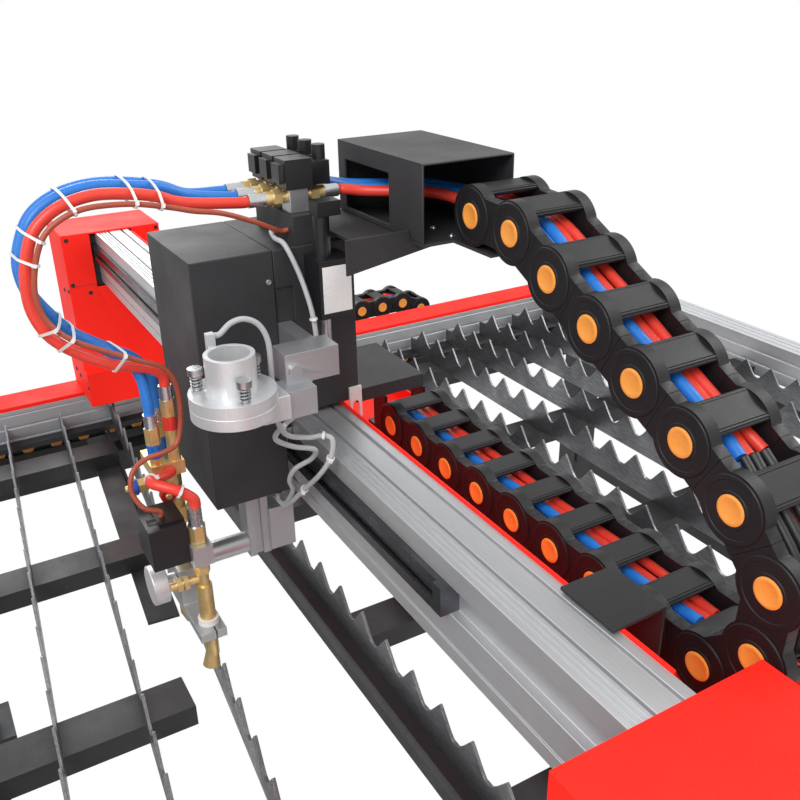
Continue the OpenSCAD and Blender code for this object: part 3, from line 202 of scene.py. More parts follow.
def softened(node, width_mm, material):
    """A copy of a node's mesh: loose triangles are joined into flat faces, and sharp edges are rounded."""
    work = bmesh.new()
    work.from_mesh(frame["nodes"][node].data)
    bmesh.ops.remove_doubles(work, verts=work.verts, dist=merge_mm * MM)
    bmesh.ops.dissolve_limit(work, angle_limit=math.radians(flat_degrees), verts=work.verts, edges=work.edges)
    mesh = bpy.data.meshes.new(node + "_finished")
    work.to_mesh(mesh)
    work.free()
    mesh.materials.clear()
    mesh.materials.append(material)
    mesh.shade_smooth()
    mesh.set_sharp_from_angle(angle=math.radians(shade_sharp_degrees))
    piece = bpy.data.objects.new(node + "_finished", mesh)
    bpy.context.scene.collection.objects.link(piece)
    edge = piece.modifiers.new("edge", "BEVEL")
    edge.width = width_mm * MM
    edge.segments = 2
    edge.limit_method = "ANGLE"
    edge.angle_limit = math.radians(edge_sharp_degrees)
    edge.miter_outer = "MITER_ARC"
    edge.use_clamp_overlap = True
    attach(piece, body_of[node])
    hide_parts(node)
    return piece


def dress(node, material, edge_mm=0.0):
    """Gives a node its finish, and with an edge width in millimetres also a copy with softened edges."""
    frame["nodes"][node].data.materials.clear()
    frame["nodes"][node].data.materials.append(material)
    if edge_mm > 0:
        finished[node] = softened(node, edge_mm, material)


# Powder coat on welded steel: matt and faintly pebbled, so only the rounded edges catch light.
powder_black = finish("powder_coat_black", "2c2c2e", "222224", 1.6, 0.5, bump_mm=0.06)
# Dull zinc plate: dark, with a weak blurred sheen.
foot_zinc = finish("dull_zinc_plate", "4a4b4d", "38393b", 1.2, 0.5, metallic=0.6, bump_mm=0.03)
dress("legs", powder_black, edge_mm=3.0)
dress("frame_tubes", powder_black, edge_mm=3.0)
dress("levelling_feet", foot_zinc, edge_mm=0.8)


# Slat supports. Bars, ledges, a square tube and an angle bar of powder-coated steel, welded into the
# bed in two sections; the slats stand on them and lift out.
dress("slat_supports", powder_black, edge_mm=1.5)


# Rails. Grooved aluminium profiles along both sides and across both ends, bolted to the frame, with a
# red steel strip on top of each side rail and a linear guide and rack beside it.

# Anodised extrusion: the die draws its skin lengthwise and anodising dulls it, pale grey with fine streaks.
along_x = (0.04, 1, 1)
along_y = (1, 0.04, 1)
anodised_x = finish("anodised_extrusion_long", "d0d2d4", "bcbec1", 1.0, 0.46, metallic=0.55,
                    stretch=along_x, bump_mm=0.02, patch_mm=180)
anodised_y = finish("anodised_extrusion_beam", "d2d4d6", "bfc1c4", 1.0, 0.42, metallic=0.65,
                    stretch=along_y, bump_mm=0.02, patch_mm=180)
# Baked enamel on sheet steel: smooth, with little mirror image, in a bright red. A weak red emission adds a
# painted glow, so the red stays bright in shade too.
painted_red_glow = {"Emission Color": linear("ff2418"), "Emission Strength": 0.16}
enamel_red = finish("enamel_red", "ff2e22", "f7261c", 3.0, 0.55, bump_mm=0.02,
                    **{"Specular IOR Level": 0.15, **painted_red_glow})
# Ground guide steel: dark grey with a narrow streak of light.
guide_steel = finish("ground_guide_steel", "6b6e72", "54575b", 0.8, 0.3, metallic=0.95,
                     stretch=along_y, bump_mm=0.01)
dress("side_rails", anodised_x, edge_mm=0.6)
dress("end_rails", anodised_y, edge_mm=0.6)
dress("rail_strips", enamel_red, edge_mm=0.8)
dress("table_guides", guide_steel)


# Slats. Toothed strips cut from hot-rolled steel sheet. They carry the sheet that is being cut, square
# to the rails in one section and askew in the other.

# Hot-rolled steel: blue-grey scale in long patches, darker where it is worn, with a dull sheen.
slat_steel = finish("hot_rolled_steel", "8a8c8f", "5a5c5f", 2.2, 0.36, metallic=0.85, spread=0.12,
                    stretch=(1, 0.12, 1), bump_mm=0.03, patch_mm=90)
dress("straight_slats", slat_steel, edge_mm=0.5)
dress("askew_slats", slat_steel, edge_mm=0.5)


# Table energy chain. Links of moulded nylon roll along a steel tray on the far side. Each has a round
# boss on both cheeks with an orange cap in it, and wide lids over the hoses and cables that it leads.
# The pins follow the same headings as the links of the frame.
link_pitch = 58.0
link_h = 55.0
chain_w = 71.0
cheek_t = 11.0
cap_r = 11.0
# Glass-filled nylon: nearly black, satin, with a fine mould grain.
nylon_black = finish("moulded_nylon_black", "1e1e20", "131315", 1.4, 0.46, bump_mm=0.05,
                     **{"Specular IOR Level": 0.35})
# Moulded nylon caps: light orange and a little glossier than the links.
nylon_orange = finish("moulded_nylon_orange", "ffae52", "fa9c3c", 2.0, 0.36, bump_mm=0.02)
# Extruded hose rubber: smooth, saturated, with a soft line of light along the hose.
rubber_blue = finish("rubber_hose_blue", "2f86e2", "2474cc", 1.2, 0.38, bump_mm=0.03)
rubber_red = finish("rubber_hose_red", "f54c3c", "e83c2e", 1.2, 0.38, bump_mm=0.03)
# Cable jackets of soft PVC: black and satin.
cable_black = finish("pvc_cable_black", "2a2a2c", "1c1c1e", 1.0, 0.45, bump_mm=0.01)


def mesh_piece(name, points, faces, material, body, smooth=True, sharp=35.0):
    """A piece from arrays of points in metres and faces, smooth but for edges sharper than an angle."""
    mesh = bpy.data.meshes.new(name)
    mesh.from_pydata(np.asarray(points, float).tolist(), [], [list(f) for f in faces])
    mesh.validate()
    mesh.materials.append(material)
    if smooth:
        mesh.shade_smooth()
        mesh.set_sharp_from_angle(angle=math.radians(sharp))
    piece = bpy.data.objects.new(name, mesh)
    bpy.context.scene.collection.objects.link(piece)
    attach(piece, body)
    return piece


def grid_faces(rows, columns):
    """Quads of a grid of rows by columns that is closed round its columns."""
    first = np.arange(rows - 1)[:, None] * columns
    here = np.arange(columns)[None]
    beside = (here + 1) % columns
    quads = np.stack([first + here, first + beside, first + beside + columns, first + here + columns], -1)
    return quads.reshape(-1, 4).tolist()


def lathe(profile, sides=40):
    """Points and faces of a profile of (radius, height) turned about Z: each is set at the radius times the
    cosine and sine of every angle, and a flat face closes each end."""
    profile = np.asarray(profile, float)
    angle = np.linspace(0, 2 * np.pi, sides, endpoint=False)
    ring = np.stack([np.cos(angle), np.sin(angle)], 1)
    points = np.concatenate([profile[:, :1, None] * ring[None],
                             np.broadcast_to(profile[:, 1:, None], (len(profile), sides, 1))], 2)
    faces = grid_faces(len(profile), sides)
    last = (len(profile) - 1) * sides
    faces.append(list(range(sides))[::-1])
    faces.append([last + k for k in range(sides)])
    return points.reshape(-1, 3), faces


def copies(points, faces, frames):
    """The same shape set at many frames, each a 3 by 4 array of X, Y, Z axes and place in millimetres."""
    placed = [points @ np.asarray(f)[:, :3].T + np.asarray(f)[:, 3] for f in frames]
    count = len(points)
    return np.vstack(placed), [[k + i * count for k in face] for i in range(len(frames)) for face in faces]


def slab(x0, x1, y0, y1, z0, z1, chamfer):
    """Points and faces of a block whose four long edges along Z are cut off by a chamfer."""
    outline = [(x0 + chamfer, y0), (x1 - chamfer, y0), (x1, y0 + chamfer), (x1, y1 - chamfer),
               (x1 - chamfer, y1), (x0 + chamfer, y1), (x0, y1 - chamfer), (x0, y0 + chamfer)]
    points = [(x, y, z) for z in (z0, z1) for x, y in outline]
    faces = grid_faces(2, 8) + [list(range(8))[::-1], list(range(8, 16))]
    return np.array(points, float), faces


def join(parts):
    """Several (points, faces) as one."""
    points, faces, count = [], [], 0
    for p, f in parts:
        points.append(p)
        faces += [[k + count for k in face] for face in f]
        count += len(p)
    return np.vstack(points), faces


def smooth_route(points, steps=6):
    """Points on a Catmull-Rom curve: each span's cubic takes its end slopes from the neighbouring points."""
    p = np.asarray(points, float) * MM
    p = np.vstack([2 * p[0] - p[1], p, 2 * p[-1] - p[-2]])
    t = np.linspace(0, 1, steps, endpoint=False)[:, None]
    spans = []
    for i in range(1, len(p) - 2):
        a, b, c, d = p[i - 1:i + 3]
        spans.append(0.5 * (2 * b + (c - a) * t + (2 * a - 5 * b + 4 * c - d) * t ** 2
                            + (3 * b - a - 3 * c + d) * t ** 3))
    return np.vstack(spans + [p[-2:-1]])


def tube_along(route, radius, sides=16):
    """Rings of a round tube: each point is the route plus the radius times cosine and sine along two
    directions square to the route, which turn as little as they can from ring to ring."""
    ahead = np.gradient(route, axis=0)
    ahead /= np.linalg.norm(ahead, axis=1)[:, None]
    across = [np.cross(ahead[0], (0.3, 0.5, 0.81))]
    for t in ahead[1:]:
        across.append(across[-1] - np.dot(across[-1], t) * t)
    across = np.array(across)
    across /= np.linalg.norm(across, axis=1)[:, None]
    second = np.cross(ahead, across)
    angle = np.linspace(0, 2 * np.pi, sides, endpoint=False)
    ring = np.cos(angle)[None, :, None] * across[:, None] + np.sin(angle)[None, :, None] * second[:, None]
    points = (route[:, None] + radius * ring).reshape(-1, 3)
    faces = grid_faces(len(route), sides)
    last = (len(route) - 1) * sides
    faces.append(list(range(sides))[::-1])
    faces.append([last + k for k in range(sides)])
    return points, faces


def pin_places(start, headings):
    """Pin centres in the chain's plane: each is one pitch from the last, at the next heading in degrees."""
    turned_by = np.radians(headings)
    steps = link_pitch * np.stack([np.cos(turned_by), np.sin(turned_by)], 1)
    return np.vstack([start, start + np.cumsum(steps, 0)])


class Chain:
    """One energy chain: its pins in its plane, and the frame that carries the plane into the object."""

    def __init__(self, name, pins, origin, along, up, across):
        self.name = name
        self.pins = pins
        self.origin = np.array(origin, float)
        self.along = np.array(along, float)
        self.up = np.array(up, float)
        self.across = np.array(across, float)

    def place(self, s, u, w):
        """The object's point at s along, u up and w across the chain."""
        return self.origin + np.outer(s, self.along) + np.outer(u, self.up) + np.outer(w, self.across)

    def heading(self, i):
        """The chain's direction at a pin, from its neighbours."""
        ahead = self.pins[min(i + 1, len(self.pins) - 1)] - self.pins[max(i - 1, 0)]
        return ahead / np.linalg.norm(ahead)

    def link_frame(self, i, w, flip):
        """Axes at a pin: X along the link, Y across its plane, Z out of the cheek, and the place."""
        d = self.heading(i)
        x = d[0] * self.along + d[1] * self.up
        z = self.across * flip
        y = np.cross(z, x)
        return np.column_stack([x, y, z, self.place([self.pins[i][0]], [self.pins[i][1]], [w])[0]])


# Profiles of the boss and of the cap in it, each as (radius, height over the cheek) from outside to centre.
boss_r = link_h / 2 - 1.5
boss_profile = [(boss_r, -0.5), (boss_r, 0.5), (boss_r - 0.8, 1.2), (boss_r - 4.0, 1.2),
                (boss_r - 4.6, 0.7), (cap_r + 3.4, 0.7), (cap_r + 2.6, 1.3), (cap_r + 0.8, 1.3),
                (cap_r + 0.5, 1.0)]
cap_profile = [(cap_r + 0.5, 0.4), (cap_r + 0.5, 1.5), (cap_r - 0.4, 2.1), (cap_r - 2.2, 2.2),
               (cap_r - 2.8, 1.9), (0.6, 1.9)]


def chain_caps(chain, first, last, body, label):
    """Bosses and orange caps on both cheeks of the links from first to last."""
    frames = []
    for i in range(first, last + 1):
        frames.append(chain.link_frame(i, 0.0, -1))
        frames.append(chain.link_frame(i, chain_w, 1))
    points, faces = copies(*lathe(boss_profile), frames)
    mesh_piece(chain.name + "_bosses_" + label, points * MM, faces, nylon_black, body)
    points, faces = copies(*lathe(cap_profile), frames)
    mesh_piece(chain.name + "_caps_" + label, points * MM, faces, nylon_orange, body)


lid_lap = 1.0
lid_half_l = 15.0
lid_half_t = 1.6
lid_depth = 6.0
end_rib_starts = (-13.5, 11.0)
end_rib_w = 2.5
end_rib_half_t = 2.8
long_rib_half_l = 13.0
long_rib_w = 4.0
long_rib_half_t = 2.4
long_rib_in = 14.0
plate_chamfer = 0.8
rib_chamfer = 0.6


def chain_lids(chain, first, last, body, label):
    """Lids over and under the hoses: a wide plate from cheek to cheek, with two ribs each way."""
    frames = [chain.link_frame(i, 0.0, 1) for i in range(first, last + 1)]
    w0, w1 = cheek_t - lid_lap, chain_w - cheek_t + lid_lap
    parts = []
    for side in (-1, 1):
        level = side * (link_h / 2 - lid_depth)
        parts.append(slab(-lid_half_l, lid_half_l, level - lid_half_t, level + lid_half_t, w0, w1,
                          plate_chamfer))
        for x in end_rib_starts:
            parts.append(slab(x, x + end_rib_w, level - end_rib_half_t, level + end_rib_half_t, w0, w1,
                              rib_chamfer))
        for w in (w0 + long_rib_in, w1 - long_rib_in - long_rib_w):
            parts.append(slab(-long_rib_half_l, long_rib_half_l, level - long_rib_half_t,
                              level + long_rib_half_t, w, w + long_rib_w, rib_chamfer))
    points, faces = join(parts)
    points, faces = copies(points, faces, frames)
    mesh_piece(chain.name + "_lids_" + label, points * MM, faces, nylon_black, body,
               smooth=False)


# Hoses and cables inside the links: place across the chain, level, radius, finish and name, in millimetres.
hose_layout = [(19.0, 4.0, 5.2, rubber_blue, "blue_a"), (30.5, 6.5, 5.2, rubber_blue, "blue_b"),
               (42.0, 3.0, 5.2, rubber_red, "red_a"), (52.5, 5.5, 4.6, rubber_red, "red_b"),
               (36.0, -7.0, 4.2, cable_black, "cable_a"), (24.0, -9.0, 3.6, cable_black, "cable_b"),
               (47.5, -8.0, 4.2, cable_black, "cable_c")]


wave_mm = 1.6
wave_step = 1.7
end_gap = 0.5
inner_steps = 5
inner_sides = 12


def chain_hoses(chain, first, last, body, label, lift):
    """Hoses through the links, from half a pitch before first to half a pitch after last. Each sways
    sideways by a sine of its link's number."""
    ends = np.arange(first, last + 1)
    middle = np.array([chain.pins[i] for i in ends])
    head = np.array([chain.heading(i) for i in ends])
    start = middle[0] - head[0] * (link_pitch / 2 - end_gap)
    stop = middle[-1] + head[-1] * (link_pitch / 2 - end_gap)
    centre = np.vstack([start, middle, stop])
    normal = np.vstack([head[:1], head, head[-1:]])[:, ::-1] * (-1, 1)
    for w, level, radius, material, colour_name in hose_layout:
        wave = wave_mm * np.sin(np.arange(len(centre)) * wave_step + w)
        line = centre + normal * (level * lift)
        route = chain.place(line[:, 0], line[:, 1], w + wave)
        tube, faces = tube_along(smooth_route(route, inner_steps), radius * MM, inner_sides)
        mesh_piece("%s_%s_%s" % (chain.name, colour_name, label), tube, faces, material, body)


def dress_chain(chain, spans):
    """Caps, lids and hoses for each span of links, given as first link, last link, body, label and lift."""
    for first, last, body, label, lift in spans:
        chain_caps(chain, first, last, body, label)
        chain_lids(chain, first, last, body, label)
        chain_hoses(chain, first, last, body, label, lift)


rail_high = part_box("side_rails")[1]
tray_gap = 28.0
tray_edge = 12.0
chain_in_tray = 17.0
x_chain_y = rail_high.y / MM + tray_gap + tray_edge + chain_in_tray
x_chain_low = 612.0
x_rise = 153.0
x_step = 2 * math.degrees(math.asin(link_pitch / x_rise))
x_bend_n = int(180 // x_step)
x_lead_in = (180 - (x_bend_n - 1) * x_step) / 2
# Headings of the links in degrees: the upper run, down round the bend, and the lower run.
table_headings = [0] * 11 + [-(x_lead_in + i * x_step) for i in range(x_bend_n)] + [180] * 20
x_chain_start = 430.0
table_chain = Chain("table_chain", pin_places((x_chain_start, x_chain_low + x_rise), table_headings),
                    (0, x_chain_y, 0), (1, 0, 0), (0, 0, 1), (0, 1, 0))
dress("table_chain_tray", powder_black, edge_mm=0.6)
dress("table_chain_lower", nylon_black, edge_mm=1.2)
dress("table_chain_bend", nylon_black, edge_mm=1.2)
dress("table_chain_upper", nylon_black, edge_mm=1.2)
dress_chain(table_chain, [(0, 10, "table_chain_run", "upper", 1), (11, 15, "table_chain_loop", "bend", 1),
                          (16, 34, "table", "lower", -1)])


# Gantry beam. One long aluminium extrusion with grooves, and a ground guide with its rack let into the
# front recess.
dress("beam", anodised_y, edge_mm=0.5)
dress("beam_guide", guide_steel)


# Gantry ends. Folded sheet covers in red enamel, each on a black steel end plate. The plates carry the
# guide bearings, a motor and its pinion on each side of the table.

# Machined aluminium: pale grey, with a satin metal sheen.
machined = finish("machined_aluminium", "cfd1d3", "b8bbbe", 0.7, 0.36, metallic=0.8, bump_mm=0.02)
# Motor enamel: black and smooth.
motor_black = finish("motor_enamel_black", "2a2a2d", "202023", 1.0, 0.38, bump_mm=0.02)
dress("end_covers", enamel_red, edge_mm=1.6)
dress("end_plates", powder_black)
dress("table_bearings", machined)
dress("table_motors", motor_black, edge_mm=1.2)
dress("far_table_pinion", guide_steel)
dress("near_table_pinion", guide_steel)


def screw_heads(name, node, direction, starts, radius, material, body, height=1.8):
    """Low round screw heads with a socket, where a line from each start first meets a node's surface."""
    mesh = frame["nodes"][node].data
    surface = BVHTree.FromPolygons([v.co for v in mesh.vertices], [face.vertices for face in mesh.polygons])
    places = []
    for start in starts:
        place, normal, _, _ = surface.ray_cast(Vector(start) * MM, Vector(direction))
        if place is None:
            raise ValueError("no surface under a screw of " + node)
        side = normal.orthogonal().normalized()
        places.append(np.column_stack([side, normal.cross(side), normal, place / MM]))
    sides = 24
    sunk = 0.4
    shape = np.array([(1.0, 0.0), (1.0, 0.45), (0.86, 0.85), (0.6, 1.0), (0.48, 1.0), (0.42, 0.4)])
    profile = shape * (radius, height)
    profile[0, 1] = -sunk
    points, faces = copies(*lathe(profile, sides), places)
    mesh_piece(name, points * MM, faces, material, body)


screw_heads("end_cover_screws_front", "end_covers", (0, 1, 0),
            [(261, 640, 1092), (304, 640, 1091), (379, 640, 1093), (424, 640, 1094), (259, 640, 1009),
             (302, 640, 1009), (288, 640, 990)], radius=4.0, material=foot_zinc, body="gantry")
screw_heads("end_cover_screws_side", "end_covers", (1, 0, 0),
            [(200, 744, 987), (200, 701, 995), (200, 774, 815), (200, 740, 813), (200, 672, 811)],
            radius=4.0, material=foot_zinc, body="gantry")


# The seam between the upper and lower sheets of the far end cover: a thin dark line across its face.
seam_points, seam_faces = slab(x0=253, x1=318, y0=689.8, y1=690.1, z0=1004.6, z1=1005.4, chamfer=0.05)
mesh_piece("end_cover_seam", seam_points * MM, seam_faces, foot_zinc, "gantry", smooth=False)


# Beam energy chain. The same links as on the table, from a red steel tray behind the beam, round a bend
# and up to the carriage's arm, held by black steel brackets.
beam_low, beam_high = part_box("beam")
chain_behind_beam = 73.0
chain_over_beam_foot = 37.0
y_chain_x = beam_high.x / MM + chain_behind_beam
y_chain_low = beam_low.z / MM + chain_over_beam_foot
# Headings of the links in degrees: the lower run, up round the bend, and the slope up to the arm.
beam_headings = [180] * 8 + [138, 92, 48, 30] + [26.5] * 4 + [3]
y_chain_start = -166.0
beam_chain = Chain("beam_chain", pin_places((y_chain_start, y_chain_low), beam_headings),
                   (y_chain_x, 0, 0), (0, 1, 0), (0, 0, 1), (1, 0, 0))
dress("beam_chain_tray", enamel_red, edge_mm=0.8)
dress("chain_brackets", powder_black, edge_mm=0.8)
dress("beam_chain_lower", nylon_black, edge_mm=1.2)
dress("beam_chain_bend", nylon_black, edge_mm=1.2)
dress("beam_chain_upper", nylon_black, edge_mm=1.2)
dress_chain(beam_chain, [(0, 7, "gantry", "lower", -1), (8, 11, "beam_chain_loop", "bend", -1),
                         (12, 17, "beam_chain_run", "upper", 1)])


# Carriage. A black steel plate runs on bearings along the beam's guide. It carries the motor that drives
# it through a pinion, and the motors of the two lifters.
dress("carriage_plate", powder_black)
dress("beam_bearings", machined, edge_mm=0.6)
dress("beam_pinion", guide_steel)
dress("carriage_motors", motor_black, edge_mm=1.2)


# Carriage covers. Folded sheet covers in fine charcoal powder coat, a shelf with a white clip, and a
# bent arm that carries the box over the cables. Small zinc-plated screws hold them.

# Charcoal powder coat: a little paler and smoother than on the frame.
powder_cover = finish("powder_coat_charcoal", "3a3a3c", "2d2d2f", 1.3, 0.56, bump_mm=0.08,
                      **{"Specular IOR Level": 0.36})
# Bright zinc plate: light grey metal with a sharp sheen.
zinc_steel = finish("zinc_plated_steel", "c9cacb", "a9abad", 0.8, 0.28, metallic=1.0, bump_mm=0.01)
# Printed plate: plain white and satin.
plate_white = finish("printed_plate_white", "f0f0ee", "e4e4e2", 3.0, 0.35, bump_mm=0.005)
dress("front_cover", powder_cover, edge_mm=1.2)
dress("rear_cover", powder_cover, edge_mm=1.2)
dress("rear_shelf", powder_cover, edge_mm=0.8)
dress("cable_arm", powder_cover, edge_mm=0.8)
dress("cable_box", powder_cover, edge_mm=0.9)


def recolour(node, material, low, high):
    """Gives another finish to the faces of a finished piece whose centres lie in a box of millimetres."""
    mesh = finished[node].data
    mesh.materials.append(material)
    for face in mesh.polygons:
        centre = face.center / MM
        if all(a <= c <= b for a, c, b in zip(low, centre, high)):
            face.material_index = len(mesh.materials) - 1


recolour("rear_shelf", plate_white, (377, -199, 1079), (393, -195, 1119))
screw_heads("front_cover_screw", "front_cover", (0, 1, 0), [(298, -240, 1248)],
            radius=3.2, material=zinc_steel, body="carriage")
screw_heads("arm_screws", "cable_arm", (0, 0, -1), [(452, -246, 1292), (451, -280, 1292)],
            radius=3.4, material=zinc_steel, body="carriage")


# Solenoid valves. Three machined bodies in a row, each with a moulded black coil on top. Brass fittings
# are screwed into both faces, and a steel ferrule is crimped over each hose end.

# Moulded ABS: black with a soft gloss.
abs_black = finish("moulded_abs_black", "222224", "17171a", 1.0, 0.36, bump_mm=0.03)
# Turned brass: warm yellow with a soft sheen, patchy where it was handled.
brass = finish("turned_brass", "f0d79c", "dab878", 0.9, 0.38, metallic=0.75, bump_mm=0.02, patch_mm=16)
# Crimped steel: bright, with a broken sheen.
ferrule_steel = finish("crimped_steel", "d6d7d8", "bcbec0", 0.8, 0.26, metallic=0.95, bump_mm=0.02)
dress("valve_bodies", machined, edge_mm=0.8)
dress("valve_coils", abs_black, edge_mm=1.8)
dress("hose_fittings", brass, edge_mm=0.35)
recolour("hose_fittings", ferrule_steel, (290, -200, 1300), (312.8, -80, 1340))
recolour("hose_fittings", ferrule_steel, (369.4, -200, 1300), (390, -80, 1340))


# Height sensor. A moulded black box with a blank white plate on its front and a plated coaxial
# connector under it, screwed to the lifter's cover.
dress("height_sensor", abs_black, edge_mm=1.2)
recolour("height_sensor", plate_white, (338, -231.5, 1217), (370, -230.1, 1265))
recolour("height_sensor", zinc_steel, (338, -225, 1184), (352, -210, 1211.9))


# Plasma lifter. A screw raises an aluminium arm with the torch's breakaway collar: a lower ring, an
# upper ring with the bore, and bolts and springs that let the upper ring lift in a crash.

# Chromed bar: mirror-smooth grey.
chromed = finish("chromed_bar", "d6d8da", "c4c7ca", 1.5, 0.14, metallic=1.0, spread=0.04, bump_mm=0.005)
# Turned aluminium: pale, satin, with fine rings from the lathe.
turned = finish("turned_aluminium", "e8e9ea", "d4d6d8", 0.6, 0.4, metallic=0.6, stretch=(1, 1, 0.05),
                bump_mm=0.02)
dress("plasma_screw_shaft", chromed)
dress("lift_arm", machined, edge_mm=0.6)
dress("collar_base", turned, edge_mm=0.8)
dress("collar_top", turned, edge_mm=0.8)
dress("collar_bolts", zinc_steel)
dress("collar_springs", zinc_steel)
recolour("lift_arm", powder_cover, (305, -193.7, 1171), (331, -190.8, 1241))


# Oxy-fuel lifter. A screw raises a slide bar, and a round bar from it ends in the torch clamp with its
# turned hand knob.
dress("oxy_screw_shaft", chromed)
dress("oxy_slide_bar", machined, edge_mm=0.5)
dress("torch_bar", machined, edge_mm=0.8)
dress("torch_clamp", machined, edge_mm=0.6)
dress("clamp_knob", turned, edge_mm=1.0)


# Oxy-fuel torch. A brass torch with three inlets, a blue and a red valve knob, a pilot torch beside it,
# and the igniter's black coil on an aluminium block. Dipped sleeves mark oxygen blue and gas red.

# Dipped sleeves: thin and glossy, in the colour of their gas.
sleeve_blue = finish("dipped_sleeve_blue", "1f6fc8", "195fb2", 1.0, 0.36, bump_mm=0.02)
sleeve_red = finish("dipped_sleeve_red", "e23a30", "cc2e26", 1.0, 0.36, bump_mm=0.02)
# Moulded knobs: strong colour with a soft gloss.
abs_blue = finish("moulded_abs_blue", "2358b8", "1c4aa2", 1.0, 0.34, bump_mm=0.02)
abs_red = finish("moulded_abs_red", "cf2a22", "b8221c", 1.0, 0.34, bump_mm=0.02)
dress("oxy_torch", brass, edge_mm=0.35)
dress("igniter_coil", abs_black, edge_mm=1.6)
dress("pilot_torch", brass, edge_mm=0.35)
dress("blue_knob", abs_blue, edge_mm=0.8)
dress("red_knob", abs_red, edge_mm=0.8)
# The torch's three inlets: the place of each hose end, with its sleeve lower down.
inlets = ((170.5, -184, 1136, sleeve_blue), (186, -156, 1129, sleeve_blue), (189, -184, 1162, sleeve_red))
inlet_reach = 7.2
ferrule_l = 14.0
sleeve_from = 32.0
sleeve_to = 46.5
for x, y, z, sleeve in inlets:
    low, high = (x - inlet_reach, y - inlet_reach), (x + inlet_reach, y + inlet_reach)
    recolour("oxy_torch", ferrule_steel, (*low, z - ferrule_l), (*high, z + 1))
    recolour("oxy_torch", sleeve, (*low, z - sleeve_to), (*high, z - sleeve_from))
recolour("pilot_torch", ferrule_steel, (175, -255, 1037), (200, -230, 1058))
recolour("pilot_torch", plate_white, (170, -255, 920.2), (200, -225, 927.2))
recolour("igniter_coil", machined, (176.4, -256, 996), (197, -224, 1019))
recolour("blue_knob", brass, (130, -190, 1040), (144.6, -160, 1075))
recolour("red_knob", brass, (160, -197, 1030), (190, -194.1, 1070))


# Hoses. Two blue oxygen hoses and a red gas hose of rubber hang in one loop from the valves to the torch,
# and a short red one goes on to the pilot torch. Each is clamped in its ferrule at both ends. The points
# of each route are in millimetres.
hose_r = 5.25
blue_hose_a = [
    (293.5, -140, 1321), (284, -140, 1321), (249, -142, 1327), (221, -145, 1338), (192, -148, 1344),
    (163, -151, 1348), (138, -154, 1346), (118, -156, 1339), (102, -158, 1327), (92, -159, 1308),
    (87, -160, 1290), (88, -160, 1271), (97, -161, 1252), (116, -163, 1225), (132, -166, 1211),
    (149, -170, 1199), (163, -175, 1187), (169, -180, 1172), (170.5, -184, 1150), (170.5, -184, 1136)]
blue_hose_b = [
    (293.5, -110, 1321), (284, -110, 1321), (252, -116, 1324), (227, -122, 1335), (197, -128, 1343),
    (166, -132, 1347), (140, -136, 1345), (119, -139, 1338), (102, -141, 1325), (91, -143, 1305),
    (86, -144, 1286), (88, -144, 1266), (96, -144, 1247), (117, -145, 1221), (134, -146, 1207),
    (153, -148, 1194), (170, -150, 1183), (182, -153, 1168), (186, -156, 1150), (186, -156, 1129)]
red_hose = [
    (293.5, -170, 1321), (284, -170, 1321), (233, -172, 1328), (208, -172, 1337), (185, -172, 1342),
    (156, -173, 1345), (131, -174, 1341), (112, -175, 1332), (98, -176, 1318), (90, -177, 1298),
    (86, -178, 1279), (86, -179, 1256), (93, -181, 1235), (105, -183, 1220), (125, -185, 1205),
    (147, -186, 1193), (171, -186, 1185), (184, -185, 1178), (189, -184, 1170), (189, -184, 1162)]
pilot_hose = [
    (180, -191.5, 1075), (180, -196, 1075), (168, -206, 1078), (157, -212, 1081), (156, -221, 1082),
    (165, -230, 1080), (177, -237, 1075), (187, -240, 1066), (188.5, -240, 1060), (188.5, -240, 1057)]


def free_cord(name, points, radius, material, body="carriage"):
    """A cord of round section along its route."""
    route = smooth_route(points)
    tube, faces = tube_along(route, radius * MM)
    piece = mesh_piece(name, tube, faces, material, body)
    return piece


free_cord("hose_blue_a", blue_hose_a, hose_r, rubber_blue)
free_cord("hose_blue_b", blue_hose_b, hose_r, rubber_blue)
hose_red = free_cord("hose_red", red_hose, hose_r, rubber_red)
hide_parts("torch_hoses")
hose_pilot = free_cord("hose_pilot", pilot_hose, hose_r, rubber_red, "oxy_lifter")
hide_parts("pilot_hose")


# Cables. The igniter's high-voltage lead has a silicone jacket and follows the hoses; two thin grey
# cables run from the collar and from the valves to the carriage plate.
cable_r = 2.5
igniter_lead = [
    (328.7, -178, 1291), (320, -178, 1291), (295, -185, 1304), (262, -190, 1318), (235, -191, 1324),
    (214, -191, 1330), (183, -191, 1337), (151, -191, 1339), (131, -191, 1336), (113, -191, 1327),
    (102, -192, 1315), (94, -192, 1295), (90, -193, 1273), (93, -194, 1253), (102, -196, 1238),
    (116, -199, 1226), (139, -201, 1213), (164, -203, 1200), (184, -203, 1189), (194, -202, 1173),
    (197, -200, 1151), (195, -200, 1126), (188, -203, 1108), (176, -206, 1104), (156, -204, 1100),
    (142, -208, 1092), (137, -214, 1076), (144, -222, 1060), (158, -225, 1053), (158, -225, 1047)]
collar_cable = [
    (211.5, -283, 1240.5), (217, -283, 1240.5), (227, -283, 1248), (239, -284, 1250), (251, -285, 1243),
    (258, -286, 1227), (259, -286, 1200), (259, -286, 1160), (266, -288, 1135), (286, -292, 1127),
    (300, -298, 1128), (306, -304, 1124), (303, -304, 1106), (296, -292, 1084), (294, -258, 1052),
    (293, -210, 1008), (293, -188, 1001), (293, -183, 1004), (293, -183, 1011)]
